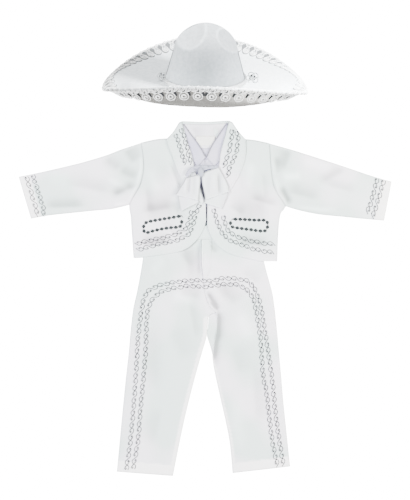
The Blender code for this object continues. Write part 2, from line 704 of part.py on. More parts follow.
def build_crown():
    """Turned crown, dented by hand at front and back."""
    work = bmesh.new()
    profile = [work.verts.new((radius * MM, 0, (height + CROWN_FOOT) * MM)) for height, radius in CROWN]
    edges = [work.edges.new(pair) for pair in zip(profile, profile[1:])]
    bmesh.ops.spin(work, geom=profile + edges, cent=(0, 0, 0), axis=(0, 0, 1), angle=2 * math.pi,
                   steps=CROWN_STEPS, use_merge=True)
    bmesh.ops.remove_doubles(work, verts=work.verts[:], dist=0.00005)
    for vertex in work.verts:
        turn = math.degrees(math.atan2(vertex.co.x, vertex.co.y))
        height = vertex.co.z / MM - CROWN_FOOT
        for centre, level, half_turn, half_height, depth in DENTS:
            gap = (turn - centre + 180) % 360 - 180
            away = math.hypot(gap / half_turn, (height - level) / half_height)
            pull = depth * smooth(1.25 - away) * MM
            flat = Vector((vertex.co.x, vertex.co.y, 0))
            if flat.length > 1e-6:
                vertex.co -= flat.normalized() * min(pull, flat.length * 0.4)
    bmesh.ops.recalc_face_normals(work, faces=work.faces[:])
    mesh = bpy.data.meshes.new("hat_crown")
    work.to_mesh(mesh)
    work.free()
    mesh.shade_smooth()
    crown = add_object("hat_crown", mesh, FELT_WHITE, 0.95)
    stiffen(crown, FELT, -1.0)
    crown.matrix_world = hat_matrix()


def build_hat_trim():
    """Braid round the crown's foot and a loop knot at each side of it."""
    foot = FELT / 2 + SEAM
    section = []
    for share, out in ((0.0, 0.0), (0.0, 0.7), (0.5, 1.0), (1.0, 0.6), (1.0, 0.0)):
        level = share * BRAID["height"]
        section.append((crown_radius(level) + 2 * SEAM + out * BRAID["thickness"], foot + level))
    braid = add_ring("hat_braid", [section] * BRAID["steps"], LACE_WHITE, True)
    braid.matrix_world = hat_matrix()
    reach = CROWN[0][1] + 3 * SEAM + BRAID["thickness"] + LOOP_KNOT["major"] + LOOP_KNOT["minor"]
    for side, outward in (("right", 1), ("left", -1)):
        bpy.ops.mesh.primitive_torus_add(major_segments=14, minor_segments=6, major_radius=LOOP_KNOT["major"] * MM,
                                         minor_radius=LOOP_KNOT["minor"] * MM)
        torus = bpy.context.object
        knot = add_object(f"hat_knot_{side}", torus.data, LACE_WHITE)
        bpy.data.objects.remove(torus)
        place = Matrix.Translation(Vector((outward * reach, 0, foot + LOOP_KNOT["minor"])) * MM)
        knot.matrix_world = hat_matrix() @ place


def build_suit():
    for item in list(bpy.data.objects):
        bpy.data.objects.remove(item, do_unlink=True)
    bpy.context.scene.collection.children.link(bpy.data.collections.new("charro_suit"))
    halves = build_jacket()
    build_collars()
    build_shirt(halves)
    build_trousers()
    build_tie()
    build_brim()
    build_galloon()
    build_crown()
    build_hat_trim()
    bpy.context.view_layer.update()
    for item in bpy.data.collections["charro_suit"].objects:
        item.matrix_world = Matrix.Translation(Vector(TO_ORIGIN) * MM) @ item.matrix_world


build_suit()
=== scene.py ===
import math

import bmesh
import bpy
import numpy as np
from mathutils import Matrix, Vector
from mathutils.bvhtree import BVHTree
from mathutils.geometry import delaunay_2d_cdt


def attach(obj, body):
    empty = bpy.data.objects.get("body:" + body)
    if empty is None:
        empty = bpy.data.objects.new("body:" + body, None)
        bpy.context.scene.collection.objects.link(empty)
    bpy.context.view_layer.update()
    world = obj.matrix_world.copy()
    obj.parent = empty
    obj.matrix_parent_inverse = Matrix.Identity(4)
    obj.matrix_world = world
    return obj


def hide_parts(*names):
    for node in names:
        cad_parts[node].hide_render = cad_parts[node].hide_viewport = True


# A small child's charro suit laid out flat, with its sombrero stood on the back rim.
# Tables are in millimetres in the suit's frame: +X to the wearer's left, +Y to the hat, +Z up.

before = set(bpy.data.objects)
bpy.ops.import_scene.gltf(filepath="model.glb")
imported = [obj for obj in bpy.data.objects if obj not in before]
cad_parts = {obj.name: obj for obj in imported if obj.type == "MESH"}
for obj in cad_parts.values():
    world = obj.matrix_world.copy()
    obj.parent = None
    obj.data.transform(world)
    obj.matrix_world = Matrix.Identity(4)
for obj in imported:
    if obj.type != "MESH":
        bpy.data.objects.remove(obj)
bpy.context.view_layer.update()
mm = 0.001
body = "root"
sides = ("right", "left")

studio = dict(
    lens=200.0, sensor=36.0, cameraHeight=5.833, aim=(-0.0003, 0.00645),
    floorColour=(0.6, 0.6, 0.6), floorSize=12.0, backdropGlow=18.0, skyStrength=0.85,
    # each light: place, size, power, tint, the pieces it lights and the pieces that shade it
    lights={
        "suitKey": ((-1.7, 0.9, 2.5), 1.4, 320.0, (1.0, 0.995, 0.985), "suit", "suit"),
        "suitWarm": ((1.5, 0.2, 1.0), 0.8, 80.0, (1.0, 0.965, 0.80), "suit", "suit"),
        "suitFill": ((1.6, -0.9, 2.7), 2.2, 130.0, (0.97, 0.985, 1.0), "suit", "suit"),
        "hatKey": ((-0.5, 2.9, 1.5), 0.8, 150.0, (1.0, 1.0, 0.99), "brim", "hat"),
        "crownKey": ((-0.3, 2.9, 1.2), 0.6, 260.0, (0.98, 0.99, 1.0), "crown", "crown"),
        "crownRight": ((2.9, 0.8, 0.5), 0.8, 90.0, (0.99, 0.98, 1.0), "crown", "crown"),
        "brimSide": ((0.45, 0.55, 0.55), 0.2, 42.0, (0.99, 1.0, 1.0), "brim", "crown"),
        "laceFront": ((0.3, -1.6, 2.6), 0.8, 380.0, (1.0, 1.0, 1.0), "lace", "lace"),
    },
    # pieces by the beginnings of their names
    sets={
        "hat": ("hat",), "crown": ("hatCrown",), "brim": ("hatBrim", "hatLaceTop"),
        "lace": ("hatLaceUnder", "hatBraid"),
        "suit": ("jacket", "sleeve", "trouser", "waistband", "shirt", "collar", "neckLabel", "bow", "pocket"),
    },
)


# small tools

def smooth(value):
    value = np.clip(value, 0.0, 1.0)
    return value * value * (3 - 2 * value)


def peak(distance, width):
    # 1 on a line, falling away on both sides of it
    return np.exp(-(distance / width) ** 2)


def unit(vectors):
    return vectors / np.linalg.norm(vectors, axis=1)[:, None]


def wayAlong(points):
    # length of a line from its start to each of its points
    return np.concatenate([[0], np.cumsum(np.linalg.norm(np.diff(points, axis=0), axis=1))])


def readAt(stations, along, table):
    # every column of a table, read between its rows
    return np.column_stack([np.interp(stations, along, column) for column in table.T])


def curveThrough(points, spacing, spanSteps=12):
    # smooth curve through the points, at even steps of about the spacing
    p = np.asarray(points, float)
    if len(p) < 3:
        dense = p
    else:
        ends = np.vstack([2 * p[0] - p[1], p, 2 * p[-1] - p[-2]])
        t = np.linspace(0, 1, spanSteps, endpoint=False)[:, None]
        dense = [0.5 * (2 * b + (c - a) * t + (2 * a - 5 * b + 4 * c - d) * t ** 2
                        + (3 * b - a - 3 * c + d) * t ** 3)
                 for a, b, c, d in zip(ends, ends[1:], ends[2:], ends[3:])]
        dense = np.vstack(dense + [p[-1:]])
    along = wayAlong(dense)
    steps = max(1, round(along[-1] / spacing))
    return readAt(np.linspace(0, along[-1], steps + 1), along, dense)


def distanceTo(points, line):
    # distance from each point to a polyline, and the share of the way along its nearest stretch
    a, b = line[:-1], line[1:]
    run = b - a
    lengths = np.maximum((run ** 2).sum(1), 1e-18)
    away = points[:, None, :] - a[None]
    share = np.clip((away * run[None]).sum(2) / lengths[None], 0, 1)
    gap = np.linalg.norm(away - share[..., None] * run[None], axis=2)
    nearest = gap.argmin(1)
    rows = np.arange(len(points))
    return gap[rows, nearest], (nearest + share[rows, nearest]) / len(run)


def insideOf(points, loop):
    # crossing count for a closed outline
    a, b = loop, np.roll(loop, -1, axis=0)
    x, y = points[:, :1], points[:, 1:]
    spans = (a[None, :, 1] > y) != (b[None, :, 1] > y)
    rise = np.where(b[:, 1] == a[:, 1], 1e-12, b[:, 1] - a[:, 1])
    cross = a[:, 0] + (y - a[:, 1]) * (b[:, 0] - a[:, 0]) / rise
    return (spans & (x < cross)).sum(1) % 2 == 1


def topAt(tree, place):
    # a surface's highest point at a place, or None beside it
    return tree.ray_cast(Vector((*place, 1.0)), Vector((0, 0, -1)))[0]


def gridFaces(rows, wide):
    # quads between neighbouring rows of points
    return [(i * wide + j, (i + 1) * wide + j, (i + 1) * wide + j + 1, i * wide + j + 1)
            for i in range(rows - 1) for j in range(wide - 1)]


def newObject(name, data):
    item = bpy.data.objects.new(name, data)
    bpy.context.scene.collection.objects.link(item)
    return item


def meshFrom(work, name):
    # the worked shape as a mesh of its own
    mesh = bpy.data.meshes.new(name)
    work.to_mesh(mesh)
    work.free()
    return mesh


def plainMesh(item, name):
    # the evaluated shape as a plain mesh; the helper object goes
    shape = item.evaluated_get(bpy.context.evaluated_depsgraph_get())
    mesh = bpy.data.meshes.new_from_object(shape)
    mesh.name = name
    mesh.transform(item.matrix_world)
    bpy.data.objects.remove(item)
    return mesh


def withWall(name, mesh, thickness, sharpest):
    # a skin given its thickness inwards, with smooth faces between its sharp edges
    skin = newObject(name + "Skin", mesh)
    wall = skin.modifiers.new("wall", "SOLIDIFY")
    wall.thickness = thickness
    wall.offset = -1.0
    wall.use_even_offset = False
    solid = plainMesh(skin, name)
    solid.shade_smooth()
    solid.set_sharp_from_angle(angle=sharpest)
    return solid


pieces = []


def addPiece(name, mesh, materials, nodes=()):
    # a finished piece: rides on the body, takes its materials and hides the nodes it stands for
    piece = newObject(name, mesh)
    for item in materials:
        if item.name not in mesh.materials:     # a trim brings its own
            mesh.materials.append(item)
    pieces.append(piece)
    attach(piece, body)
    if nodes:
        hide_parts(*nodes)
    return piece


# shader node groups

def addNode(tree, kind, values=None, **settings):
    node = tree.nodes.new(kind)
    for key, value in settings.items():
        setattr(node, key, value)
    for key, value in (values or {}).items():
        if isinstance(value, bpy.types.NodeSocket):
            tree.links.new(value, node.inputs[key])
        else:
            node.inputs[key].default_value = value
    return node


def mathNode(tree, operation, first, second):
    return addNode(tree, "ShaderNodeMath", {0: first, 1: second}, operation=operation).outputs[0]


def newGroup(kind, name, inputs, outputs):
    tree = bpy.data.node_groups.new(name, kind)
    for label, socketType, value in inputs:
        socket = tree.interface.new_socket(label, in_out="INPUT", socket_type=socketType)
        if value is not None:
            socket.default_value = value
    for label, socketType in outputs:
        tree.interface.new_socket(label, in_out="OUTPUT", socket_type=socketType)
    return tree, tree.nodes.new("NodeGroupInput").outputs, tree.nodes.new("NodeGroupOutput")


def mixColours(tree, factor, first, second):
    # a Mix node's colour sockets share their names with its other types, so they go by number
    values = {"Factor": factor, 6: first, 7: second}
    return addNode(tree, "ShaderNodeMix", values, data_type="RGBA").outputs[2]


def scaleBy(tree, vector, share):
    return addNode(tree, "ShaderNodeVectorMath", {0: vector, "Scale": share}, operation="SCALE").outputs[0]


def noiseOf(tree, vector, scale, detail, roughness=0.5):
    values = {"Vector": vector, "Scale": scale, "Detail": detail, "Roughness": roughness}
    return addNode(tree, "ShaderNodeTexNoise", values).outputs["Fac"]


def eased(tree, value, low, high):
    return addNode(tree, "ShaderNodeMapRange", {"Value": value, "From Min": low, "From Max": high}).outputs[0]


def attributeOf(tree, name):
    return addNode(tree, "ShaderNodeAttribute", attribute_name=name).outputs["Fac"]


def makeClothTone():
    # two close tints in broad soft patches, lighter where the cloth is doubled, then painted shade and
    # painted highlight from the shading mark
    tree, given, out = newGroup("ShaderNodeTree", "clothTone", [
        ("Vector", "NodeSocketVector", None), ("Tint", "NodeSocketColor", (0.8, 0.8, 0.8, 1)),
        ("Other Tint", "NodeSocketColor", (0.8, 0.8, 0.8, 1)),
        ("Doubled Tint", "NodeSocketColor", (0.9, 0.9, 0.9, 1)),
        ("Patch Scale", "NodeSocketFloat", 9.0), ("Speckle", "NodeSocketFloat", 0.04),
        ("Crease Depth", "NodeSocketFloat", 0.6),
    ], [("Color", "NodeSocketColor")])
    patches = eased(tree, noiseOf(tree, given["Vector"], given["Patch Scale"], 1.5, 0.4), 0.42, 0.58)
    tint = mixColours(tree, patches, given["Tint"], given["Other Tint"])
    layered = mixColours(tree, attributeOf(tree, "doubled"), tint, given["Doubled Tint"])
    grain = mathNode(tree, "SUBTRACT", noiseOf(tree, given["Vector"], 900.0, 2.0), 0.5)
    speckled = mathNode(tree, "MULTIPLY", grain, given["Speckle"])
    # the shading mark darkens the colour as painted shade below zero and lightens it as painted highlight
    # above
    shadingShare = mathNode(tree, "MULTIPLY", attributeOf(tree, "crease"), given["Crease Depth"])
    bright = mathNode(tree, "ADD", mathNode(tree, "ADD", speckled, shadingShare), 1.0)
    tree.links.new(scaleBy(tree, layered, bright), out.inputs["Color"])
    return tree


def makeWeave():
    # fine diagonal ribs over a slight fibre fuzz
    tree, given, out = newGroup("ShaderNodeTree", "weave", [
        ("Vector", "NodeSocketVector", None), ("Ribs", "NodeSocketFloat", 1500.0),
        ("Turn", "NodeSocketFloat", 0.9), ("Fuzz", "NodeSocketFloat", 0.3),
    ], [("Height", "NodeSocketFloat")])
    turned = addNode(tree, "ShaderNodeVectorRotate", {"Vector": given["Vector"], "Angle": given["Turn"]},
                     rotation_type="Z_AXIS").outputs[0]
    ribs = addNode(tree, "ShaderNodeTexWave",
                   {"Vector": turned, "Scale": given["Ribs"], "Distortion": 0.6, "Detail": 1.0},
                   wave_type="BANDS", bands_direction="X").outputs["Fac"]
    fuzz = mathNode(tree, "MULTIPLY", noiseOf(tree, given["Vector"], 420.0, 3.0), given["Fuzz"])
    tree.links.new(mathNode(tree, "ADD", ribs, fuzz), out.inputs["Height"])
    return tree


clothTone = makeClothTone()
weave = makeWeave()


def newMaterial(name, roughness, sheen=0.0, specular=0.25):
    item = bpy.data.materials.new(name)
    item.use_nodes = True
    shader = item.node_tree.nodes["Principled BSDF"]
    shader.inputs["Roughness"].default_value = roughness
    shader.inputs["Sheen Weight"].default_value = sheen
    shader.inputs["Specular IOR Level"].default_value = specular
    coords = item.node_tree.nodes.new("ShaderNodeTexCoord").outputs["Object"]
    return item, shader, coords


def addBump(tree, shader, height, strength, distance):
    bump = addNode(tree, "ShaderNodeBump", {"Height": height, "Strength": strength, "Distance": distance})
    tree.links.new(bump.outputs["Normal"], shader.inputs["Normal"])


def makeCloth(name, look):
    item, shader, coords = newMaterial(name, look["roughness"], look["sheen"])
    tree = item.node_tree
    tone = addNode(tree, "ShaderNodeGroup", node_tree=clothTone)
    relief = addNode(tree, "ShaderNodeGroup", node_tree=weave)
    for group in (tone, relief):
        tree.links.new(coords, group.inputs["Vector"])
    for label in ("Tint", "Other Tint", "Doubled Tint"):
        tone.inputs[label].default_value = (*look[label], 1)
    tone.inputs["Patch Scale"].default_value = look["patchScale"]
    relief.inputs["Ribs"].default_value = look["ribs"]
    relief.inputs["Turn"].default_value = look["turn"]
    tree.links.new(tone.outputs["Color"], shader.inputs["Base Color"])
    addBump(tree, shader, relief.outputs["Height"], look["bump"], 0.00012)
    return item


clothLooks = {
    "suiting": {
        "Tint": (0.615, 0.715, 0.725), "Other Tint": (0.82, 0.80, 0.89), "Doubled Tint": (0.97, 0.96, 1.0),
        "patchScale": 8.0, "roughness": 0.72, "sheen": 0.12, "ribs": 420.0, "turn": 0.9, "bump": 0.35,
        "slot": "suiting",
    },
    "shirting": {
        "Tint": (0.44, 0.43, 0.60), "Other Tint": (0.53, 0.52, 0.64), "Doubled Tint": (0.58, 0.57, 0.72),
        "patchScale": 14.0, "roughness": 0.8, "sheen": 0.05, "ribs": 620.0, "turn": 0.0, "bump": 0.25,
        "slot": "shirting",
    },
    "tieSatin": {
        "Tint": (0.69, 0.735, 0.79), "Other Tint": (0.68, 0.69, 0.77), "Doubled Tint": (0.82, 0.82, 0.88),
        "patchScale": 20.0, "roughness": 0.5, "sheen": 0.1, "ribs": 700.0, "turn": 0.4, "bump": 0.15,
        "slot": "tie_satin",
    },
    "labelCloth": {
        "Tint": (0.78, 0.775, 0.77), "Other Tint": (0.76, 0.76, 0.76), "Doubled Tint": (0.70, 0.70, 0.71),
        "patchScale": 60.0, "roughness": 0.6, "sheen": 0.0, "ribs": 900.0, "turn": 1.57, "bump": 0.3,
        "slot": "shirting",
    },
}
# the same cloths in another tone: the collar's stand painted lighter as painted light, the tie's band and
# knot painted darker as shade
for name, base, tint, otherTint in (("standShirting", "shirting", (0.74, 0.73, 0.80), (0.70, 0.69, 0.78)),
                                    ("bandSatin", "tieSatin", (0.30, 0.32, 0.41), (0.38, 0.38, 0.50))):
    clothLooks[name] = dict(clothLooks[base], **{"Tint": tint, "Other Tint": otherTint})
cloths = {name: makeCloth(name, look) for name, look in clothLooks.items()}


def makeThread(name, colour, roughness):
    # twisted thread: fine slanting plies that lighten and darken a little
    item, shader, coords = newMaterial(name, roughness, specular=0.08)
    tree = item.node_tree
    plies = noiseOf(tree, coords, 700.0, 2.0)
    dark, light = ((*(min(1.0, share * channel) for channel in colour), 1) for share in (0.82, 1.18))
    tree.links.new(mixColours(tree, plies, dark, light), shader.inputs["Base Color"])
    addBump(tree, shader, plies, 0.4, 0.0002)
    return item


greyThread = makeThread("greyThread", (0.04, 0.04, 0.046), 0.55)
whiteThread = makeThread("whiteThread", (0.72, 0.73, 0.74), 0.6)
pocketThread = makeThread("pocketThread", (0.02, 0.024, 0.027), 0.5)
laceCord = makeThread("laceCord", (0.82, 0.83, 0.83), 0.7)
# the net is painted grey for the shade among the lace's cords; the two after it are dark grounds that stand
# for shade, black below the brim and dark grey on top
laceNet = makeThread("laceNet", (0.45, 0.465, 0.48), 0.9)
laceShade = makeThread("laceShade", (0.022, 0.023, 0.025), 0.9)
laceDusk = makeThread("laceDusk", (0.12, 0.126, 0.132), 0.9)


def makeFelt(name, look):
    item, shader, coords = newMaterial(name, look["roughness"], look["sheen"])
    tree = item.node_tree
    mottle = eased(tree, noiseOf(tree, coords, look["mottle"], 4.0, 0.65), 0.32, 0.68)
    tint = mixColours(tree, mottle, (*look["dark"], 1), (*look["light"], 1))
    # the shading mark darkens the felt as painted shade below zero and lightens it as painted highlight above
    shadingShare = mathNode(tree, "MULTIPLY", attributeOf(tree, "crease"), look["paintedShadingDepth"])
    bright = mathNode(tree, "ADD", shadingShare, 1.0)
    tree.links.new(scaleBy(tree, tint, bright), shader.inputs["Base Color"])
    addBump(tree, shader, noiseOf(tree, coords, look["fibre"], 3.0), 0.55, 0.0005)
    return item


feltLook = dict(roughness=0.95, sheen=0.1, mottle=150.0, fibre=600.0, paintedShadingDepth=0.4,
                dark=(0.57, 0.62, 0.65), light=(0.76, 0.80, 0.83))
hatFelt = makeFelt("hatFelt", feltLook)
# the brim's underside: the same felt painted darker and warmer, as shade
brimUnder = makeFelt("brimUnder", dict(feltLook, dark=(0.60, 0.585, 0.55), light=(0.72, 0.70, 0.66)))
print("materials made")


# cloth panels

def nodeTop(node):
    # corners of a node's upper face in order, anticlockwise from above, and its tree for rays
    work = bmesh.new()
    work.from_mesh(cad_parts[node].data)
    bmesh.ops.remove_doubles(work, verts=work.verts[:], dist=1e-6)
    work.normal_update()
    upper = {face for face in work.faces if face.normal.z > 0.5}
    following = {}
    for face in upper:
        for loop in face.loops:
            if all(other is face or other not in upper for other in loop.edge.link_faces):
                following[loop.vert] = loop.link_loop_next.vert
    chain = [next(iter(following))]
    while following[chain[-1]] is not chain[0]:
        chain.append(following[chain[-1]])
    corners = np.array([vertex.co.xy for vertex in chain])
    tree = BVHTree.FromBMesh(work)
    work.free()
    return corners, tree


def smoothLoop(corners, spacing, sharpest=math.radians(30)):
    # the outline resampled along smooth curves between its real corners
    before = corners - np.roll(corners, 1, axis=0)
    after = np.roll(corners, -1, axis=0) - corners
    turn = np.abs(np.angle((after[:, 0] + 1j * after[:, 1]) / (before[:, 0] + 1j * before[:, 1])))
    sharp = np.flatnonzero(turn > sharpest)
    if len(sharp) == 0:
        sharp = np.array([0])
    runs = []
    for first, last in zip(sharp, np.append(sharp[1:], sharp[0] + len(corners))):
        run = corners[np.arange(first, last + 1) % len(corners)]
        runs.append(curveThrough(run, spacing)[:-1])
    return np.vstack(runs)


def grownLoop(loop, reach):
    # the outline moved out a little, for a seam allowance under its neighbour
    step = np.roll(loop, -1, axis=0) - np.roll(loop, 1, axis=0)
    return loop + reach * unit(np.column_stack([step[:, 1], -step[:, 0]]))


def fillPanel(loop, spacing, rings):
    # triangles inside an outline: rings close to the edge, an even grid within
    step = np.roll(loop, -1, axis=0) - loop
    inward = unit(np.column_stack([-step[:, 1], step[:, 0]]))
    normal = inward + np.roll(inward, 1, axis=0)
    normal /= np.maximum(np.linalg.norm(normal, axis=1)[:, None], 0.8)
    closed = np.vstack([loop, loop[:1]])
    points = [loop]
    for ring in rings:
        moved = loop + normal * ring
        keep = insideOf(moved, loop) & (distanceTo(moved, closed)[0] > 0.8 * ring)
        points.append(moved[keep])
    low, high = loop.min(0), loop.max(0)
    grid = []
    for row, y in enumerate(np.arange(low[1], high[1], spacing * math.sqrt(0.75))):
        x = np.arange(low[0] + spacing * (row % 2) / 2, high[0], spacing)
        grid.append(np.column_stack([x, np.full(len(x), y)]))
    grid = np.vstack(grid)
    grid = grid[insideOf(grid, loop)]
    grid = grid[distanceTo(grid, closed)[0] > rings[-1] + 0.45 * spacing]
    points = np.vstack(points + [grid])
    border = [(i, (i + 1) % len(loop)) for i in range(len(loop))]
    flat, _, faces, *_ = delaunay_2d_cdt([Vector(point) for point in points], border, [], 1, 1e-7)
    return np.array([tuple(point) for point in flat]), faces


def neighbours(faces):
    pairs = {tuple(sorted(pair)) for face in faces for pair in zip(face, face[1:] + face[:1])}
    return np.array(sorted(pairs))


def relax(height, pairs, rounds, share=0.6):
    count = np.zeros(len(height))
    np.add.at(count, pairs.ravel(), 1)
    for _ in range(rounds):
        total = np.zeros(len(height))
        np.add.at(total, pairs[:, 0], height[pairs[:, 1]])
        np.add.at(total, pairs[:, 1], height[pairs[:, 0]])
        height = height + share * (total / count - height)
    return height


def heightsOn(points, tree, pairs):
    # the solid's upper face under each point; where a point lies just off it, its neighbours' height
    found = [topAt(tree, place) for place in points]
    height = np.array([hit.z if hit else np.nan for hit in found])
    while np.isnan(height).any():
        known = ~np.isnan(height)
        total, count = np.zeros(len(height)), np.zeros(len(height))
        for a, b in ((0, 1), (1, 0)):
            good = known[pairs[:, b]]
            np.add.at(total, pairs[good, a], height[pairs[good, b]])
            np.add.at(count, pairs[good, a], 1)
        fresh = ~known & (count > 0)
        height[fresh] = total[fresh] / count[fresh]
    return height


def foldHeight(points, folds):
    # folds: x0, y0, x1, y1, half width, rise, lean. Below zero is a trough; a lean makes one flank steeper
    height = np.zeros(len(points))
    for x0, y0, x1, y1, halfWidth, rise, lean in folds:
        a, b = np.array((x0, y0)) * mm, np.array((x1, y1)) * mm
        run = b - a
        length = np.linalg.norm(run)
        along = np.clip((points - a) @ run / length ** 2, 0, 1)
        offset = points - a - along[:, None] * run
        side = np.sign(run[0] * offset[:, 1] - run[1] * offset[:, 0])
        if rise < 0 and not lean:
            lean = 0.5 * np.sign(run[0])    # a trough eases off on its upper flank
        width = halfWidth * mm * (1 + lean * side)
        taper = smooth(np.minimum(along, 1 - along) * 3.2 + 0.02)    # nearly level at the ends
        height += rise * mm * taper * peak(np.linalg.norm(offset, axis=1), width)
    return height


laid = []       # trees of the cloth laid so far, for what comes on top
clothTops = {}  # the same by piece, for what is sewn on it
lie = dict(     # how cloth lies, in mm apart from the shares
    clearance=0.15, deepest=2.2,             # gap to what lies under it, and the deepest that a fold goes
    fullShade=4.2, darkest=1.25,             # the fold painted in full, and the most that shade adds up to
    # an upper edge takes more painted shade along its rim
    upperEdgeShade=1.5, upperStep=0.5,             # share that an upper edge is darker, and the step that finds it
    hemRamp=0.8, hemGap=1.1, hemDip=0.35,    # a hem's edge, and the dip beside it
    seamHold=9, seamEnd=0.25,                # how far from its seam a sewn edge stays up
    seamWidth=2.4, seamDepth=0.7, seamShade=2.0, seamDip=0.3,
)


def restOn(points, height, wall):
    # lift the sheet where it would sink into what lies under it
    for tree in laid:
        for index, place in enumerate(points):
            hit = topAt(tree, place)
            if hit and height[index] - wall < hit.z + lie["clearance"] * mm:
                height[index] = hit.z + wall + lie["clearance"] * mm
    return height


def nearLine(points, line):
    # distance to a smooth line, in metres; the line's points are in mm
    return distanceTo(points, curveThrough(np.array(line) * mm, 4 * mm))[0]


def foldAndSew(points, closed, height, style, folds, bands, seams):
    # folds, hems and seams on a panel's lie: its new height, how doubled it is, and its painted shade and
    # highlight
    edge = distanceTo(points, closed)[0]
    step = lie["upperStep"] * mm
    upward = (edge - distanceTo(points + (0, step), closed)[0]) / step    # 1 beside an upper edge
    folded = foldHeight(points, folds) * smooth(edge / (style["fade"] * mm))
    height = height + np.maximum(folded, -lie["deepest"] * mm)
    # painted shading: troughs darker as shade and ridges lighter as highlight, then painted shade along the
    # rim
    crease = np.clip(folded / (lie["fullShade"] * mm), -1, 1)
    crease -= style["rim"] * (1 + lie["upperEdgeShade"] * upward) * peak(edge, style["rimShadeWidth"] * mm)
    crease = np.maximum(crease, -lie["darkest"])
    doubled = np.zeros(len(points))
    for line, width, lift in bands:
        past = nearLine(points, line) - width * mm
        inBand = smooth(0.5 - past / (lie["hemRamp"] * mm))
        height += lift * mm * inBand - lie["hemDip"] * mm * peak(past, lie["hemGap"] * mm)
        doubled = np.maximum(doubled, inBand)
    wall = style["wall"] * mm
    if style["rests"]:
        height = restOn(points, height, wall)
    free = np.ones(len(points))     # 0 where the edge is sewn to a neighbour and stays up
    # each seam also takes painted shade along it
    for line, dark in seams:
        near = nearLine(points, line)
        free *= smooth(near / (lie["seamHold"] * mm) - lie["seamEnd"])
        height -= lie["seamDepth"] * mm * peak(near, lie["seamWidth"] * mm)
        crease -= dark * peak(near, lie["seamShade"] * mm)
    fall = 1 - np.sqrt(np.clip(1 - np.clip(1 - edge / (style["roll"] * mm), 0, 1) ** 2, 0, 1))
    height -= (lie["seamDip"] + (style["drop"] - lie["seamDip"]) * free) * mm * fall
    return np.maximum(height, wall), doubled, crease    # nothing sinks into the floor


def panelSkin(name, points, height, faces, marks):
    # the panel's upper face, kept for what lies on it, with its marks: how doubled it is, and its painted
    # shade and highlight
    work = bmesh.new()
    layers = [work.verts.layers.float.new(label) for label in marks]
    verts = [work.verts.new((x, y, z)) for (x, y), z in zip(points, height)]
    for vertex, *values in zip(verts, *marks.values()):
        for layer, value in zip(layers, values):
            vertex[layer] = value
    for face in faces:
        work.faces.new([verts[i] for i in face])
    bmesh.ops.recalc_face_normals(work, faces=work.faces[:])
    if sum(face.normal.z for face in work.faces) < 0:
        bmesh.ops.reverse_faces(work, faces=work.faces[:])
    clothTops[name] = BVHTree.FromBMesh(work)
    laid.append(clothTops[name])
    return meshFrom(work, name)


def layCloth(name, node, cloth, style, folds=(), bands=(), seams=()):
    # one panel: outline and lie from its solid, then folds, hems and rolled edges of its own
    corners, tree = nodeTop(node)
    loop = smoothLoop(corners, style["spacing"] * mm)
    if style["grow"]:
        loop = grownLoop(loop, style["grow"] * mm)
    points, faces = fillPanel(loop, style["spacing"] * mm, [ring * mm for ring in style["rings"]])
    pairs = neighbours(faces)
    height = relax(heightsOn(points, tree, pairs), pairs, style["relax"])
    closed = np.vstack([loop, loop[:1]])
    height, doubled, crease = foldAndSew(points, closed, height, style, folds, bands, seams)
    skin = panelSkin(name, points, height, faces, {"doubled": doubled, "crease": crease})
    solid = withWall(name, skin, style["wall"] * mm, math.radians(60))
    piece = addPiece(name, solid, [cloths[cloth]], [node])
    return piece


# how a panel is made, in mm: mesh spacing and edge rings, wall, how far and how wide the edge rolls down,
# how far in folds fade, and the shade painted along the rim and how wide it is
plain = dict(spacing=3.2, rings=(0.5, 1.4, 2.6), relax=14, wall=1.2, drop=0.5, roll=1.6, rests=False,
             on=["floor"], fade=8, rim=0.35, rimShadeWidth=1.3, grow=0.0)
hidden = dict(plain, spacing=8.0, rings=(1.0, 3.0), relax=0)


# the floor
def makeFloor():
    half = studio["floorSize"] / 2
    corners = [(-half, -half, 0), (half, -half, 0), (half, half, 0), (-half, half, 0)]
    mesh = bpy.data.meshes.new("floor")
    mesh.from_pydata(corners, [], [(0, 1, 2, 3)])
    floor = newObject("floor", mesh)
    item = bpy.data.materials.new("paleFloor")
    item.use_nodes = True
    tree = item.node_tree
    shader = tree.nodes["Principled BSDF"]
    shader.inputs["Base Color"].default_value = (*studio["floorColour"], 1)
    shader.inputs["Roughness"].default_value = 0.9
    shader.inputs["Specular IOR Level"].default_value = 0.1
    seen = addNode(tree, "ShaderNodeLightPath").outputs["Is Camera Ray"]
    glow = addNode(tree, "ShaderNodeEmission", {"Strength": studio["backdropGlow"]})
    mix = addNode(tree, "ShaderNodeMixShader", {0: seen, 1: shader.outputs[0], 2: glow.outputs[0]})
    tree.links.new(mix.outputs[0], tree.nodes["Material Output"].inputs["Surface"])
    mesh.materials.append(item)


makeFloor()

backs = {    # piece: node, cloth and what differs from a hidden panel
    "jacketBack": ("jacket_back", "suiting", dict(grow=1.0)),
    "sleeveUnderRight": ("jacket_sleeve_under_right", "suiting", {}),
    "sleeveUnderLeft": ("jacket_sleeve_under_left", "suiting", {}),
    "trouserBackRight": ("trouser_back_right", "suiting", dict(spacing=6.0)),
    "trouserBackLeft": ("trouser_back_left", "suiting", dict(spacing=6.0)),
    "waistbandBack": ("trouser_waistband_back", "suiting", {}),
    "shirtBack": ("shirt_back", "shirting", dict(wall=0.8)),
    "collarBack": ("jacket_collar_back", "suiting", {}),
}
for name, (node, cloth, changes) in backs.items():
    layCloth(name, node, cloth, dict(hidden, **changes))
layCloth("shirtStand", "shirt_collar_back", "standShirting", dict(plain, wall=0.8),
         [(18, 268, 24, 236, 9, -1.6, 0), (-26, 266, -12, 238, 9, -1.2, 0)])
print("backs laid")

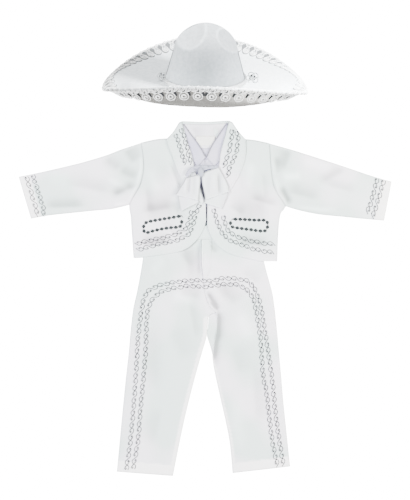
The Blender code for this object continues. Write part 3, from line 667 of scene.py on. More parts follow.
# lines that are sewn to a neighbour
armholes = {
    "right": [(-158.5, 101.1), (-147.5, 123.1), (-136.5, 142.1), (-129.5, 171.1), (-129.5, 200.1),
              (-134.5, 231.1)],
    "left": [(168.5, 98.1), (155.5, 119.1), (143.5, 142.1), (138.5, 174.1), (136.5, 200.1), (134.5, 230.1)],
}
centreSeam = [(-7.7, 29), (-7.7, -6), (-6.1, -41), (-1.5, -81), (8.5, -111), (22.5, -124)]
waistSeam = [(-125, 29.3), (119, 29.3)]
# folds by panel, each also painted: darker in a trough as shade, lighter on a ridge as highlight; a trough
# that goes deeper than the cloth may fall is mostly painted shade. Columns: x0, y0, x1, y1, half width, rise,
# lean
trouserFolds = {
    "right": [
        (-2, -67, 17, -124, 6, -3.0, 0.2), (-23, -99, -74, -90, 12, 1.2, 0),
        (-112, -141, -112, -298, 20, -1.2, 0), (-32, -99, -17, -183, 9, -1.4, 0),
        (-64, 2, -30, 13, 4, -3.4, 0), (-36, 10, -12, 32, 4, -3.4, 0), (-57, 6, -19, -31, 12, -1.2, 0),
        (-13, 30, -13, -62, 4, -1.6, 0), (-44, 20, -24, -60, 16, -1.8, 0), (-56, -80, -4, -92, 18, -1.8, 0),
        (-70, -150, -40, -230, 22, -0.9, 0), (-116, -46, -84, -10, 10, 0.9, 0),
        (0, -90, 23, -122, 4, -3.8, 0), (-95, -319, -116, -414, 14, -1.0, 0),
    ],
    "left": [
        (25, -119, 22, -188, 7, -4.4, 0.8), (26, -116, 23, -186, 4, -5.0, 0.6),
        (23, -165, 17, -225, 4, -4.0, 0.6), (1, -80, 28, -122, 4, -7.0, 0),
        (34, -58, 66, -112, 18, -1.8, 0), (60, -190, 78, -260, 20, -1.0, 0),
        (23, -160, 14, -245, 6, -3.6, 0.75), (8, -100, 27, -124, 4, -3.4, 0),
        (69, -120, 98, -193, 14, 1.3, 0), (105, -225, 113, -372, 16, -1.3, 0),
        (2, 27, 25, -2, 6, -2.6, 0.3), (19, -57, 48, -105, 9, -1.4, 0), (61, -298, 73, -424, 14, 0.9, 0),
        (73, -36, 119, -67, 10, -1.0, 0),
    ],
}
# turned hems and inseams: a line, its band's half width and how far the doubled cloth lifts
trouserHems = {
    "right": [
        ([(-185, -459), (-67, -468)], 23, 0.5),
        ([(5, -142), (4, -173), (-6, -209), (-21, -262), (-40, -337), (-56, -412), (-67, -468)], 9, 0.25),
    ],
    "left": [
        ([(58, -462), (179, -448)], 21, 0.5),
        ([(14, -228), (21, -255), (33, -309), (51, -391), (58, -462)], 6, 0.25),
    ],
}
for side in sides:
    layCloth("trouserFront" + side.title(), "trouser_front_" + side, "suiting",
             dict(plain, drop=2.6, roll=2.6, fade=4, rim=0.15, on=["trouserBack" + side.title()]),
             trouserFolds[side], trouserHems[side], [(centreSeam, 0.1), (waistSeam, 0.0)])
layCloth("waistbandFront", "trouser_waistband_front", "suiting", dict(plain, rim=0.1, on=["waistbandBack"]))
# beside the fly a raised ridge painted lighter as highlight, then a shallow trough painted darker as shade
flyFolds = [(-6.2, 44, -6.2, -66, 1.3, 4.4, 0), (8, 34, 14, 2, 5, -1.2, 0)]
layCloth("trouserFly", "trouser_fly", "suiting",
         dict(plain, wall=0.8, fade=0.5, rim=0.0, drop=0.2, on=["trouserFrontLeft"]), flyFolds)
print("trousers laid")

# painted shade in the gap between the fronts: troughs deeper than the cloth may fall, so that mostly paint
# shows
frontGapShade = [(-8, 150, -6, 100, 5, -7.0, 0), (2.5, 106, 1.5, 54, 4, -7.0, 0)]    # dark between the fronts
for side in sides:
    layCloth("shirtFront" + side.title(), "shirt_front_" + side, "shirting",
             dict(plain, wall=0.8, spacing=3.0, fade=0.5, on=["shirtBack"]), frontGapShade)
    layCloth("shirtLeaf" + side.title(), "shirt_collar_" + side, "shirting",
             dict(plain, wall=0.8, spacing=1.8, rim=1.9, rimShadeWidth=2.0, on=["shirtFront" + side.title()]))
layCloth("neckLabel", "neck_label", "labelCloth",
         dict(plain, wall=0.5, spacing=2.0, relax=0, on=["shirtStand"]))
print("shirt laid")

sleeveFolds = {
    "right": [
        (-168, 222, -146, 188, 15, -2.4, 0), (-214, 200, -175, 174, 11, -2.0, 0.2),
        (-183, 176, -140, 158, 10, -2.6, 0.2), (-200, 120, -143, 146, 8, -4.0, 0.2),
        (-301, 150, -190, 128, 12, -1.6, 0), (-345, 98, -245, 101, 9, -2.6, 0),
        (-340, 166, -250, 140, 14, 0.7, 0), (-196, 99, -154, 103, 5, 1.8, 0),
        (-210, 158, -150, 128, 7, 1.2, 0), (-133, 206, -134, 160, 4, 2.6, 0),
        (-134, 178, -142, 136, 5, 2.4, 0), (-141, 146, -160, 104, 4, 2.0, 0),
    ],
    "left": [
        (178, 224, 160, 172, 13, -2.6, 0), (147, 206, 153, 164, 6, -2.0, 0),
        (157, 158, 205, 162, 10, 2.2, 0), (158, 143, 182, 100, 8, -4.0, -0.3),
        (165, 134, 245, 114, 12, -2.0, 0), (235, 146, 296, 182, 9, -2.2, 0.2),
        (245, 149, 320, 128, 9, -1.4, 0), (178, 95, 283, 88, 5, 1.6, 0), (199, 197, 270, 180, 12, 0.9, 0),
        (140, 200, 141, 152, 3.5, 2.4, 0), (142, 162, 156, 122, 4, 2.4, 0), (152, 132, 170, 100, 4, 2.6, 0),
    ],
}
frontFolds = {
    "right": [
        (-76, 195, -46, 120, 5, -2.4, 0), (-141, 86, -61, 101, 9, -1.8, 0),
        (-116, 185, -99, 122, 12, 1.3, 0), (-124, 143, -116, 80, 7, -1.4, 0),
        (-95, 65, -42, 27, 9, -1.2, 0), (-132, 86, -56, 102, 28, -2.0, 0.1),
        (-112, 150, -70, 178, 20, -0.8, 0.1), (-140, 18, -66, 26, 11, -3.2, 0),
        (-70, 112, -44, 60, 10, -1.4, 0),
    ],
    "left": [
        (155, 99, 90, 120, 8, -2.2, 0), (98, 195, 90, 128, 11, 1.5, 0), (119, 174, 128, 111, 6, -1.2, 0),
        (48, 101, 84, 82, 8, -1.2, 0), (52, 86, 138, 98, 28, -2.0, 0.1), (66, 140, 112, 152, 18, -0.9, 0.1),
        (60, 26, 138, 16, 10, -2.6, 0),
    ],
}
cuffBands = {
    "right": [([(-391, 160), (-365, 72)], 22, 0.35)],
    "left": [([(376, 68), (392, 150)], 20, 0.35)],
}
for side in sides:
    layCloth("sleeveTop" + side.title(), "jacket_sleeve_top_" + side, "suiting",
             dict(plain, drop=2.6, roll=2.6, rim=0.25, on=["sleeveUnder" + side.title()]),
             sleeveFolds[side], cuffBands[side], [(armholes[side], 0.08)])
    layCloth("jacketFront" + side.title(), "jacket_front_" + side, "suiting",
             dict(plain, rests=True, rim=0.4, on=["jacketBack"]), frontFolds[side])
    layCloth("jacketCollar" + side.title(), "jacket_collar_" + side, "suiting",
             dict(plain, spacing=2.2, rests=True, rim=0.9, on=["jacketFront" + side.title()]))
print("jacket laid")

# painted shade in the gap under the bow: a trough deeper than the cloth may fall
shadeUnderBow = [(-9.5, 150, -7.5, 104, 3.5, -8.0, 0)]
bowFolds = {
    "loopLeft": [
        (26, 172, 29, 118, 3.2, -3.4, 0), (38, 166, 44, 124, 3, 0.9, 0),
        (10, 170, 6, 120, 4, -1.0, 0), (17, 172, 19, 126, 4, 0.8, 0),
        (-2, 170, -3, 116, 2.5, 0.8, 0),
    ],
    "loopRight": [
        (-31, 164, -35, 120, 3.2, -2.4, 0), (-39, 160, -44, 122, 3, 1.2, 0),
        (-23, 168, -23, 116, 3.5, -1.2, 0), (-51, 158, -56, 132, 3, -1.4, 0),
        (-14, 166, -16, 111, 2.5, 0.9, 0),
    ],
    "band": [
        (-13, 187, -9, 179, 1.6, -2.0, 0), (4, 187, 8, 178, 1.6, -2.2, 0),
        (15, 187, 20, 179, 1.6, -1.8, 0), (-40, 181, -21, 183, 1.8, -1.6, 0),
        (-3, 187, 0, 179, 1.6, 1.0, 0), (-28, 177, -11, 170, 1.6, -2.4, 0),
    ],
    "knot": [
        (-8, 186, -6, 172, 1.6, -1.8, 0), (-14, 186, -13, 172, 1.4, -1.4, 0),
        (-3, 184, -4, 173, 1.4, -1.2, 0),
    ],
    "tailLeft": shadeUnderBow,
    "tailRight": shadeUnderBow,
}
bowLie = dict(plain, spacing=1.6, rings=(0.4, 1.0), wall=0.8, relax=8, fade=2, rim=0.9, rimShadeWidth=1.7)
bandLie = dict(plain, spacing=1.3, rings=(0.4, 1.0), wall=0.8, fade=1.5)
for part in ("tail", "loop"):
    for side in sides:
        layCloth("bow" + part.title() + side.title(), f"bow_{part}_{side}", "tieSatin",
                 dict(bowLie, on=["jacketFront" + side.title()]), bowFolds[part + side.title()])
layCloth("bowBand", "bow_band", "bandSatin", dict(bandLie, on=["bowLoopLeft"]), bowFolds["band"])
layCloth("bowKnot", "bow_knot", "bandSatin", dict(bandLie, relax=2, on=["bowBand"]), bowFolds["knot"])
print("bow laid")


# trims: cords, stitches and studs repeated along a skin, by Geometry Nodes

def skinAlong(rows, name, shares=None):
    # a strip of quads to lay a trim on: rows follow the trim, columns run across it at even or given shares
    rows = np.asarray(rows, float)
    long, wide = rows.shape[:2]
    if shares is None:
        shares = np.linspace(0, 1, wide)
    mesh = bpy.data.meshes.new(name)
    mesh.from_pydata(rows.reshape(-1, 3).tolist(), [], gridFaces(long, wide))
    chart = mesh.uv_layers.new(name="UVMap")
    for loop in mesh.loops:
        row, column = divmod(loop.vertex_index, wide)
        chart.data[loop.index].uv = (row / (long - 1), shares[column])
    mesh.shade_smooth()
    return newObject(name, mesh)


def clothSkin(name, path, reach, tops, overrun, spacing=2.0):
    # the strip along a path on laid cloth and a little past its ends, in mm. Gives it and the path's length
    line = curveThrough(np.array(path, float), spacing)
    length = wayAlong(line)[-1]
    ahead, behind = unit(np.array([line[0] - line[1], line[-1] - line[-2]])) * overrun
    line = np.vstack([line[0] + ahead, line, line[-1] + behind])
    tangent = unit(np.gradient(line, axis=0))
    side = np.column_stack([-tangent[:, 1], tangent[:, 0]])
    across = np.linspace(-reach, reach, 5)
    rows = (line[:, None, :] + side[:, None, :] * across[None, :, None]) * mm
    flat = rows.reshape(-1, 2)
    height = np.full(len(flat), np.nan)
    for top in tops:
        for index, place in enumerate(flat):
            hit = topAt(clothTops[top], place)
            if hit:
                height[index] = np.fmax(height[index], hit.z)
    known = ~np.isnan(height)
    for index in np.flatnonzero(~known):    # beside the cloth the strip goes on at the nearest height
        height[index] = height[known][np.linalg.norm(flat[known] - flat[index], axis=1).argmin()]
    height = height.reshape(rows.shape[:2])
    return skinAlong(np.dstack([rows, height]), name + "Skin"), length


skinInputs = [
    ("Motif", "NodeSocketGeometry", None), ("Skin", "NodeSocketObject", None), ("Count", "NodeSocketInt", 10),
    ("Pitch", "NodeSocketFloat", 0.02), ("Overrun", "NodeSocketFloat", 0.003),
    ("Reach", "NodeSocketFloat", 0.01), ("Lift", "NodeSocketFloat", 0.001),
]


def makeRepeatOnSkin():
    # the incoming motif, repeated along X and carried onto the skin: x runs along it, y across, z off it
    tree, given, out = newGroup("GeometryNodeTree", "repeatOnSkin", skinInputs,
                                [("Geometry", "NodeSocketGeometry")])
    step = addNode(tree, "ShaderNodeCombineXYZ", {"X": given["Pitch"]}).outputs[0]
    stations = addNode(tree, "GeometryNodeMeshLine", {"Count": given["Count"], "Offset": step}).outputs[0]
    copies = addNode(tree, "GeometryNodeInstanceOnPoints", {"Points": stations, "Instance": given["Motif"]})
    strip = addNode(tree, "GeometryNodeRealizeInstances", {"Geometry": copies.outputs[0]}).outputs[0]
    position = addNode(tree, "GeometryNodeInputPosition").outputs[0]
    place = addNode(tree, "ShaderNodeSeparateXYZ", {"Vector": position}).outputs
    nominal = mathNode(tree, "MULTIPLY", given["Count"], given["Pitch"])
    total = mathNode(tree, "ADD", nominal, mathNode(tree, "MULTIPLY", given["Overrun"], 2.0))
    along = mathNode(tree, "DIVIDE", mathNode(tree, "ADD", place["X"], given["Overrun"]), total)
    wide = mathNode(tree, "MULTIPLY", given["Reach"], 2.0)
    across = mathNode(tree, "DIVIDE", mathNode(tree, "ADD", place["Y"], given["Reach"]), wide)
    spot = addNode(tree, "ShaderNodeCombineXYZ", {"X": along, "Y": across}).outputs[0]
    skin = addNode(tree, "GeometryNodeObjectInfo", {"Object": given["Skin"]}).outputs["Geometry"]
    chart = addNode(tree, "GeometryNodeInputNamedAttribute", {"Name": "UVMap"},
                    data_type="FLOAT_VECTOR").outputs[0]
    spotOn, normalOn = [
        addNode(tree, "GeometryNodeSampleUVSurface",
                {"Mesh": skin, "Value": addNode(tree, kind).outputs[0], "UV Map": chart, "Sample UV": spot},
                data_type="FLOAT_VECTOR").outputs[0]
        for kind in ("GeometryNodeInputPosition", "GeometryNodeInputNormal")]
    rise = scaleBy(tree, normalOn, mathNode(tree, "ADD", place["Z"], given["Lift"]))
    landed = addNode(tree, "ShaderNodeVectorMath", {0: spotOn, 1: rise}, operation="ADD").outputs[0]
    moved = addNode(tree, "GeometryNodeSetPosition", {"Geometry": strip, "Position": landed})
    tree.links.new(moved.outputs[0], out.inputs[0])
    return tree


def makeTrimTree(name, corded):
    # motif curves become cords of the given thickness; motif meshes stay as they are
    extra = [("Material", "NodeSocketMaterial", None)]
    if corded:
        extra += [("Thickness", "NodeSocketFloat", 0.001), ("Sides", "NodeSocketInt", 6)]
    tree, given, out = newGroup("GeometryNodeTree", name, skinInputs + extra,
                                [("Geometry", "NodeSocketGeometry")])
    repeated = addNode(tree, "GeometryNodeGroup", node_tree=repeatOnSkin)
    for label, *_ in skinInputs:
        tree.links.new(given[label], repeated.inputs[label])
    shape = repeated.outputs[0]
    if corded:
        radius = mathNode(tree, "MULTIPLY", given["Thickness"], 0.5)
        circle = addNode(tree, "GeometryNodeCurvePrimitiveCircle",
                         {"Resolution": given["Sides"], "Radius": radius}).outputs[0]
        shape = addNode(tree, "GeometryNodeCurveToMesh",
                        {"Curve": shape, "Profile Curve": circle, "Fill Caps": True}).outputs[0]
    soft = addNode(tree, "GeometryNodeSetShadeSmooth", {"Geometry": shape}).outputs[0]
    real = addNode(tree, "GeometryNodeRealizeInstances", {"Geometry": soft}).outputs[0]
    dressed = addNode(tree, "GeometryNodeSetMaterial", {"Geometry": real, "Material": given["Material"]})
    tree.links.new(dressed.outputs[0], out.inputs[0])
    return tree


repeatOnSkin = makeRepeatOnSkin()
cordTrim = makeTrimTree("cordTrim", True)
studTrim = makeTrimTree("studTrim", False)


def layTrim(name, tree, motif, skin, material, counts, **sizes):
    # one trim from its motif object, sizes in mm; the motif and the tree's modifier are gone afterwards
    modifier = motif.modifiers.new("trim", "NODES")
    modifier.node_group = tree
    sockets = {item.name: item.identifier for item in tree.interface.items_tree if item.in_out == "INPUT"}
    values = dict(counts, Skin=skin, Material=material)
    values.update({label: size * mm for label, size in sizes.items()})
    for label, value in values.items():
        modifier[sockets[label]] = value
    return plainMesh(motif, name)


def motifCurves(lines, scale=mm):
    # strands as poly curves: each line is a list of points (along, across, up)
    data = bpy.data.curves.new("motif", "CURVE")
    data.dimensions = "3D"
    for line in lines:
        strand = data.splines.new("POLY")
        strand.points.add(len(line) - 1)
        for point, place in zip(strand.points, line):
            point.co = (*(value * scale for value in place), 1)
    return newObject("motif", data)


def motifMesh(points, faces):
    mesh = bpy.data.meshes.new("motif")
    mesh.from_pydata([tuple(value * mm for value in point) for point in points], [], faces)
    return newObject("motif", mesh)


def joinMeshes(name, meshes):
    # several trims of one kind as one mesh
    work = bmesh.new()
    for mesh in meshes:
        work.from_mesh(mesh)
    joined = meshFrom(work, name)
    for item in meshes[0].materials:
        joined.materials.append(item)
    for mesh in meshes:
        bpy.data.meshes.remove(mesh)
    joined.shade_smooth()
    return joined


# embroidery: a guilloche chain of one serpentine thread and a scroll that crosses it

chain = dict(
    pitch=26.4, thread=1.45, lift=0.5, over=0.5, overrun=4.0, reach=8.0,
    serpentine=[(0.5, -2.9), (4.2, -4.3), (7.6, -4.1), (9.6, -2.4), (10.8, 0.3), (12, 2.9), (14, 4.4),
                (17, 4.6), (19.6, 3.6), (23.2, 0.6), (26.9, -2.9)],
    scroll=[(4.4, 0.9), (1.6, 1.2), (0.8, 2.6), (2.8, 3.8), (6, 3.2), (8.4, 1.8), (10.8, 0.3),
            (13.2, -1.1), (15.6, -2.6), (18.8, -3.3), (20.9, -2.2), (20.2, -0.8), (17.4, -0.4)],
)
jacketRows = {
    "frontRightOuter": [(-8.7, 104.1), (-17.1, 90), (-24.2, 64.8), (-34.1, 40.9), (-56.6, 28.1),
                        (-79, 22.6), (-104.2, 17), (-129.7, 9.8), (-146.5, 7.1)],
    "frontRightInner": [(-27, 91.5), (-31.2, 76), (-39.6, 53.5), (-59.3, 40.9), (-81.8, 33.8),
                        (-108.7, 28.1), (-132.4, 22.6), (-149.4, 18.4)],
    "frontLeftOuter": [(17.1, 95.1), (25, 66), (36, 42), (52, 27), (74.9, 18.2), (96.7, 9.8), (121.5, 4.3),
                       (146.3, 0.4)],
    "frontLeftInner": [(37.7, 81.2), (43, 58), (56, 40), (85.8, 28.4), (107.6, 23.2), (132.4, 19.5),
                       (149, 18.5)],
    "collarRightOuter": [(-62.7, 251.1), (-55.9, 232.4), (-50.7, 215), (-45.2, 197.6), (-40, 184.1)],
    "collarRightInner": [(-52, 263.1), (-45.2, 245.8), (-38.5, 223), (-33.3, 198.8), (-27.8, 184.1)],
    "collarLeftOuter": [(65.9, 257.8), (68.6, 236.4), (64.6, 209.5), (59.1, 196.3), (49.9, 174.9),
                        (47.2, 156)],
    "collarLeftInner": [(57, 262), (53.9, 232.4), (48.4, 207), (41.7, 188.1), (39.2, 176.1)],
    "cuffRightOuter": [(-375.8, 162.9), (-368.2, 139.2), (-360.4, 111.7), (-352.9, 87.9), (-354.4, 74.9)],
    "cuffRightInner": [(-362.1, 165), (-352, 135.4), (-343.6, 108.5), (-338.4, 89.4), (-340.7, 75.8)],
    "cuffLeftOuter": [(375.4, 155.3), (369.5, 133), (361.5, 106), (355, 86), (350.6, 70.3)],
    "cuffLeftInner": [(361.7, 158.1), (355.5, 134), (348.5, 108), (342, 90), (338.4, 81.2)],
}
trouserRows = {
    "outer": [(-165.5, -456.9), (-156.5, -393.9), (-149.5, -318.9), (-144.5, -247.9), (-140.5, -179.9),
              (-133.5, -122.9), (-124.5, -86.9), (-103.5, -70.9), (-67.5, -61.9), (-31.5, -57.9),
              (-3.5, -57.9), (11.5, -58.9), (39.5, -52.9), (71.5, -54.9), (93.5, -61.9), (107.5, -83.9),
              (116.5, -111.9), (125.5, -165.9), (132.5, -208.9), (141.5, -272.9), (146.5, -326.9),
              (153.5, -379.9), (164.5, -447.9)],
    "inner": [(-151.5, -454.9), (-140.5, -390.9), (-135.5, -326.9), (-128.5, -254.9), (-124.5, -201.9),
              (-121.5, -129.9), (-110.5, -97.9), (-88.5, -79.9), (-60.5, -72.9), (-31.5, -68.9),
              (-3.5, -70.9), (39.5, -65.9), (71.5, -67.9), (93.5, -83.9), (103.5, -104.9), (111.5, -147.9),
              (116.5, -183.9), (121.5, -254.9), (128.5, -290.9), (134.5, -343.9), (141.5, -397.9),
              (152.5, -449.9)],
}
mirroredRows = ("cuffRightOuter", "cuffRightInner", "cuffLeftOuter", "cuffLeftInner")


def chainRow(name, path, tops):
    flip = -1 if name in mirroredRows else 1
    skin, length = clothSkin(name, path, chain["reach"], tops, chain["overrun"])
    lines = []
    for table, level in ((chain["serpentine"], 0.0), (chain["scroll"], chain["over"])):
        flat = curveThrough(np.array(table), 1.1)
        lines.append([(x, flip * y, level) for x, y in flat])
    count = max(1, round(length / chain["pitch"]))
    mesh = layTrim(name, cordTrim, motifCurves(lines), skin, greyThread, dict(Count=count, Sides=6),
                   Pitch=chain["pitch"], Overrun=chain["overrun"], Reach=chain["reach"], Lift=chain["lift"],
                   Thickness=chain["thread"])
    bpy.data.objects.remove(skin)
    return mesh


def embroider(name, rows, tops):
    mesh = joinMeshes(name, [chainRow(label, path, tops) for label, path in rows.items()])
    return addPiece(name, mesh, [greyThread])


trouserTops = ["trouserFrontRight", "trouserFrontLeft"]
jacketTops = [part + side.title() for part in ("jacketFront", "jacketCollar", "sleeveTop") for side in sides]
embroider("jacketEmbroidery", jacketRows, jacketTops)
embroider("trouserEmbroidery", trouserRows, trouserTops)
print("embroidery sewn")

pocketTrim = dict(
    spacing=10.2, length=10.4, width=7.8, height=0.9, link=1.1, lift=0.3, reach=5.0,
    # rings of a diamond from its foot up: share of its width and height; and how its sides curve in
    rings=((1.0, -0.2), (0.97, 0.55), (0.6, 0.9)), around=16, hollow=1.5,
    right=[
        (-53, 77.4), (-73.6, 73.8), (-93.5, 70.5), (-113.7, 66.9), (-124, 63.8), (-128.8, 56),
        (-128.2, 46.4), (-123.5, 42.6), (-113.9, 45.3), (-93.5, 50.1), (-73, 53.2), (-54.5, 55),
        (-49.6, 61), (-49.8, 70), (-53, 77.4),
    ],
    left=[
        (61, 71.1), (83.9, 70.4), (105.6, 69), (125, 68.6), (130.8, 63), (130.2, 53), (125, 46.6),
        (112.7, 46.8), (91.9, 49.5), (70, 52.5), (58, 54.5), (53.5, 60), (54.5, 68), (61, 71.1),
    ],
)


def diamondMotif():
    # one satin-stitched diamond: rings that narrow upwards, a tip and a closed foot
    half, wide, high = pocketTrim["length"] / 2, pocketTrim["width"] / 2, pocketTrim["height"]
    rings, around = pocketTrim["rings"], pocketTrim["around"]
    corners = [(i, (i + 1) % around) for i in range(around)]

    def hollowed(value):
        return math.copysign(abs(value) ** pocketTrim["hollow"], value)

    rim = [(half * hollowed(math.cos(turn)), wide * hollowed(math.sin(turn)))
           for turn in np.linspace(0, 2 * math.pi, around, endpoint=False)]
    points = [(x * share, y * share, high * level) for share, level in rings for x, y in rim] + [(0, 0, high)]
    last = (len(rings) - 1) * around
    faces = [(start + i, start + after, start + around + after, start + around + i)
             for start in range(0, last, around) for i, after in corners]
    faces += [(last + i, last + after, len(points) - 1) for i, after in corners]
    faces.append(tuple(range(around))[::-1])
    return motifMesh(points, faces)


def pocketOutline(side):
    # diamonds on a link thread, round a pocket
    spacing, reach = pocketTrim["spacing"], pocketTrim["reach"]
    skin, length = clothSkin("pocket" + side, pocketTrim[side], reach, ["jacketFront" + side.title()],
                             spacing / 2)
    sizes = dict(Pitch=spacing, Overrun=spacing / 2, Reach=reach, Lift=pocketTrim["lift"])
    count = round(length / spacing)
    diamonds = layTrim("diamonds", studTrim, diamondMotif(), skin, pocketThread, dict(Count=count), **sizes)
    strand = [(x, 0, 0.1) for x in np.linspace(0, spacing, 5)]
    link = layTrim("link", cordTrim, motifCurves([strand]), skin, pocketThread, dict(Count=count, Sides=6),
                   Thickness=pocketTrim["link"], **sizes)
    bpy.data.objects.remove(skin)
    return [diamonds, link]


addPiece("pocketDiamonds", joinMeshes("pocketDiamonds", pocketOutline("right") + pocketOutline("left")),
         [pocketThread])
print("pockets outlined")


stitching = dict(pitch=2.6, length=1.9, width=0.5, height=0.35, lift=0.08, reach=2.0, overrun=3.0)
stitchLines = {
    "trousers": (trouserTops + ["trouserFly", "waistbandFront"], [
        [(-183.5, -434.9), (-123, -440.5), (-62.5, -445.9)], [(56.5, -440.9), (117, -435), (177.5, -429.9)],
        [(10.2, 27), (10.2, -2), (9.6, -24), (5.5, -44), (-1, -53)],
        [(-36, 33), (0, 33), (34, 33)], [(-30, 55), (0, 55), (16, 55)],
    ]),
    "jacket": (jacketTops, [
        [(-52, 58), (-90, 62.5), (-126, 54.5)], [(58, 62), (92, 61), (127, 58)],
        [(-71, 249), (-77, 239), (-72, 221), (-66, 206), (-60, 189), (-53, 171), (-44, 153)],
        [(75, 250), (81.5, 238), (82.5, 218), (80.5, 200), (75.5, 181), (66.5, 161), (52, 138)],
    ]),
}


def stitchMotif():
    # one stitch: a slim lozenge, four-sided, sunk a little at its ends
    half, wide, high = stitching["length"] / 2, stitching["width"] / 2, stitching["height"]
    start = stitching["pitch"] / 2
    section = ((wide, 0.0), (0, high), (-wide, 0.0), (0, -0.15))
    points = [(start - half, 0, -0.1)]
    for along in (-0.55, 0.55):
        points += [(start + along * half, y, z) for y, z in section]
    points.append((start + half, 0, -0.1))
    corners = [(i, (i + 1) % 4) for i in range(4)]
    faces = [(0, 1 + after, 1 + i) for i, after in corners]
    faces += [(1 + i, 1 + after, 5 + after, 5 + i) for i, after in corners]
    faces += [(9, 5 + i, 5 + after) for i, after in corners]
    return motifMesh(points, faces)


def runStitches(name, tops, lines):
    meshes = []
    for path in lines:
        skin, length = clothSkin(name, path, stitching["reach"], tops, stitching["overrun"])
        count = round(length / stitching["pitch"])
        meshes.append(layTrim(name, studTrim, stitchMotif(), skin, whiteThread, dict(Count=count),
                              Pitch=stitching["pitch"], Overrun=stitching["overrun"],
                              Reach=stitching["reach"], Lift=stitching["lift"]))
        bpy.data.objects.remove(skin)
    return addPiece(name + "Stitches", joinMeshes(name + "Stitches", meshes), [whiteThread])


for garment, (tops, lines) in stitchLines.items():
    runStitches(garment, tops, lines)
print("seams stitched")


# the sombrero, in its own space (x to the wearer's right, y to the front, z up the crown), in mm

hat = dict(
    tilt=math.radians(22), roll=math.radians(-1), centre=(-0.1, 351.1, 174.8), felt=2.0, around=352,
    rimSide=206.5, rimFront=198.0, headRadius=80.5, droop=-18.0, curl=1.7,
    # the rim's rise at either end and how narrow it is; the curl starts at curlFrom, or nearer in there
    curlFrom=184.0, front=dict(rise=51.0, narrow=1.25, nearer=20.0, ease=3),
    back=dict(rise=31.0, narrow=2.2, nearer=44.0, ease=2),
    # the felt's own waves fade in from waveFrom on; it dips beside the front between dipFrom and the rim
    wave=0.5, waveFrom=118.0, waveOver=60.0, dip=9.0, dipFrom=125.0, dipTurn=0.93, dipWidth=0.1, dipLate=1.8,
)
crownShape = dict(
    foot=1.9, around=144, rows=70,
    profile=[(0, 83), (26, 76), (60, 67), (81, 61), (94, 53), (104, 42.5), (112, 30), (117, 17.5), (119.5, 6),
             (120, 0)],
    # ovals pressed in from the front and the back, square to a line this far above the front. Columns:
    # side (1 front, -1 back), across (to the wearer's right), up, half width, half height, depth, lean, limit
    pressAngle=math.radians(22),
    dents=[(1, 29, 91, 27, 34, 13, -0.16, 0.08), (1, -47, 79, 22, 24, 8, 0.3, 0.08),
           (-1, 34, 66, 24, 26, 9, 0.1, 0.7), (-1, -34, 66, 24, 26, 9, -0.1, 0.7)],
    # a dent's slope and its raised lip, as shares of the oval; where the lower front's shade starts and ends
    dentEdge=1.02, dentSlope=0.6, lip=1.4, lipAt=1.05, lipWidth=0.1, facing=0.25,
    shadeTop=105.0, shadeOver=60.0,
)
lace = dict(
    reach=38.0, overrun=0.06, stations=441, cord=1.6, bandCord=1.2, dot=2.0,
    # how far above the felt each layer lies
    cordLift=1.3, groundLift=0.35, dotLift=2.0, castLift=0.3, netLift=0.6,
    # per face: tongues round the rim, their length from the edge, half width and neck, the picot edge, and
    # the round shade in a tongue's eye: radius, aside and ahead
    under=dict(face=-1, tongues=44, length=31.5, lobe=10.0, neck=3.6, neckAt=12.0, band=7.5, holes=4,
               turns=1.6, slit=7.5, cast=(2.5, 0.0, 0.0)),
    top=dict(face=1, tongues=66, length=26.0, lobe=6.8, neck=2.4, neckAt=9.0, band=1.6, holes=2,
             turns=1.0, slit=12.0, cast=(9.2, 0.6, 1.0)),
)


def hatMatrix():
    up = Vector((0, math.cos(hat["tilt"]), math.sin(hat["tilt"])))
    front = Vector((0, -math.sin(hat["tilt"]), math.cos(hat["tilt"])))
    turn = Matrix((Vector((-1, 0, 0)), front, up)).transposed().to_4x4()
    return Matrix.Translation(Vector(hat["centre"]) * mm) @ Matrix.Rotation(hat["roll"], 4, "Z") @ turn


def intoSuit(points):
    # hat space in mm to the suit's frame in metres
    matrix = np.array(hatMatrix())
    return np.asarray(points) * mm @ matrix[:3, :3].T + matrix[:3, 3]


def rimRadius(turn):
    return hat["rimSide"] - (hat["rimSide"] - hat["rimFront"]) * math.sin(turn) ** 2


def brimHeight(turn, radius):
    # middle of the felt at one turn: level at the crown, curled up to the rim, most at front and back
    toward = math.sin(turn)
    end = hat["front"] if toward >= 0 else hat["back"]
    rise = hat["droop"] + (end["rise"] - hat["droop"]) * abs(toward) ** end["narrow"]
    start = hat["curlFrom"] - end["nearer"] * abs(toward) ** end["ease"]
    curl = np.maximum(0, (radius - start) / (rimRadius(turn) - start)) ** hat["curl"]
    beside = peak(abs(math.cos(turn)) - hat["dipTurn"], hat["dipWidth"]) * smooth(toward / 0.3 + 0.3)
    hang = np.clip((radius - hat["dipFrom"]) / (rimRadius(turn) - hat["dipFrom"]), 0, 1)
    ripple = -hat["dip"] * beside * np.sin(math.pi * hang ** hat["dipLate"]) ** 2
    ripple = ripple + hat["wave"] * (math.sin(5 * turn + 0.7) + 0.6 * math.sin(9 * turn + 2.1))
    return rise * curl + ripple * smooth((radius - hat["waveFrom"]) / hat["waveOver"])


def feltLine(turn, reach):
    # felt's middle from the rim inwards: the way along it, and its radius, height and unit normal there
    radius = rimRadius(turn) - np.linspace(0, reach, int(reach * 4))
    line = np.column_stack([radius, brimHeight(turn, radius)])
    along = wayAlong(line)
    slope = np.gradient(line, along, axis=0)
    return along, np.column_stack([line, slope[:, 1], -slope[:, 0]])


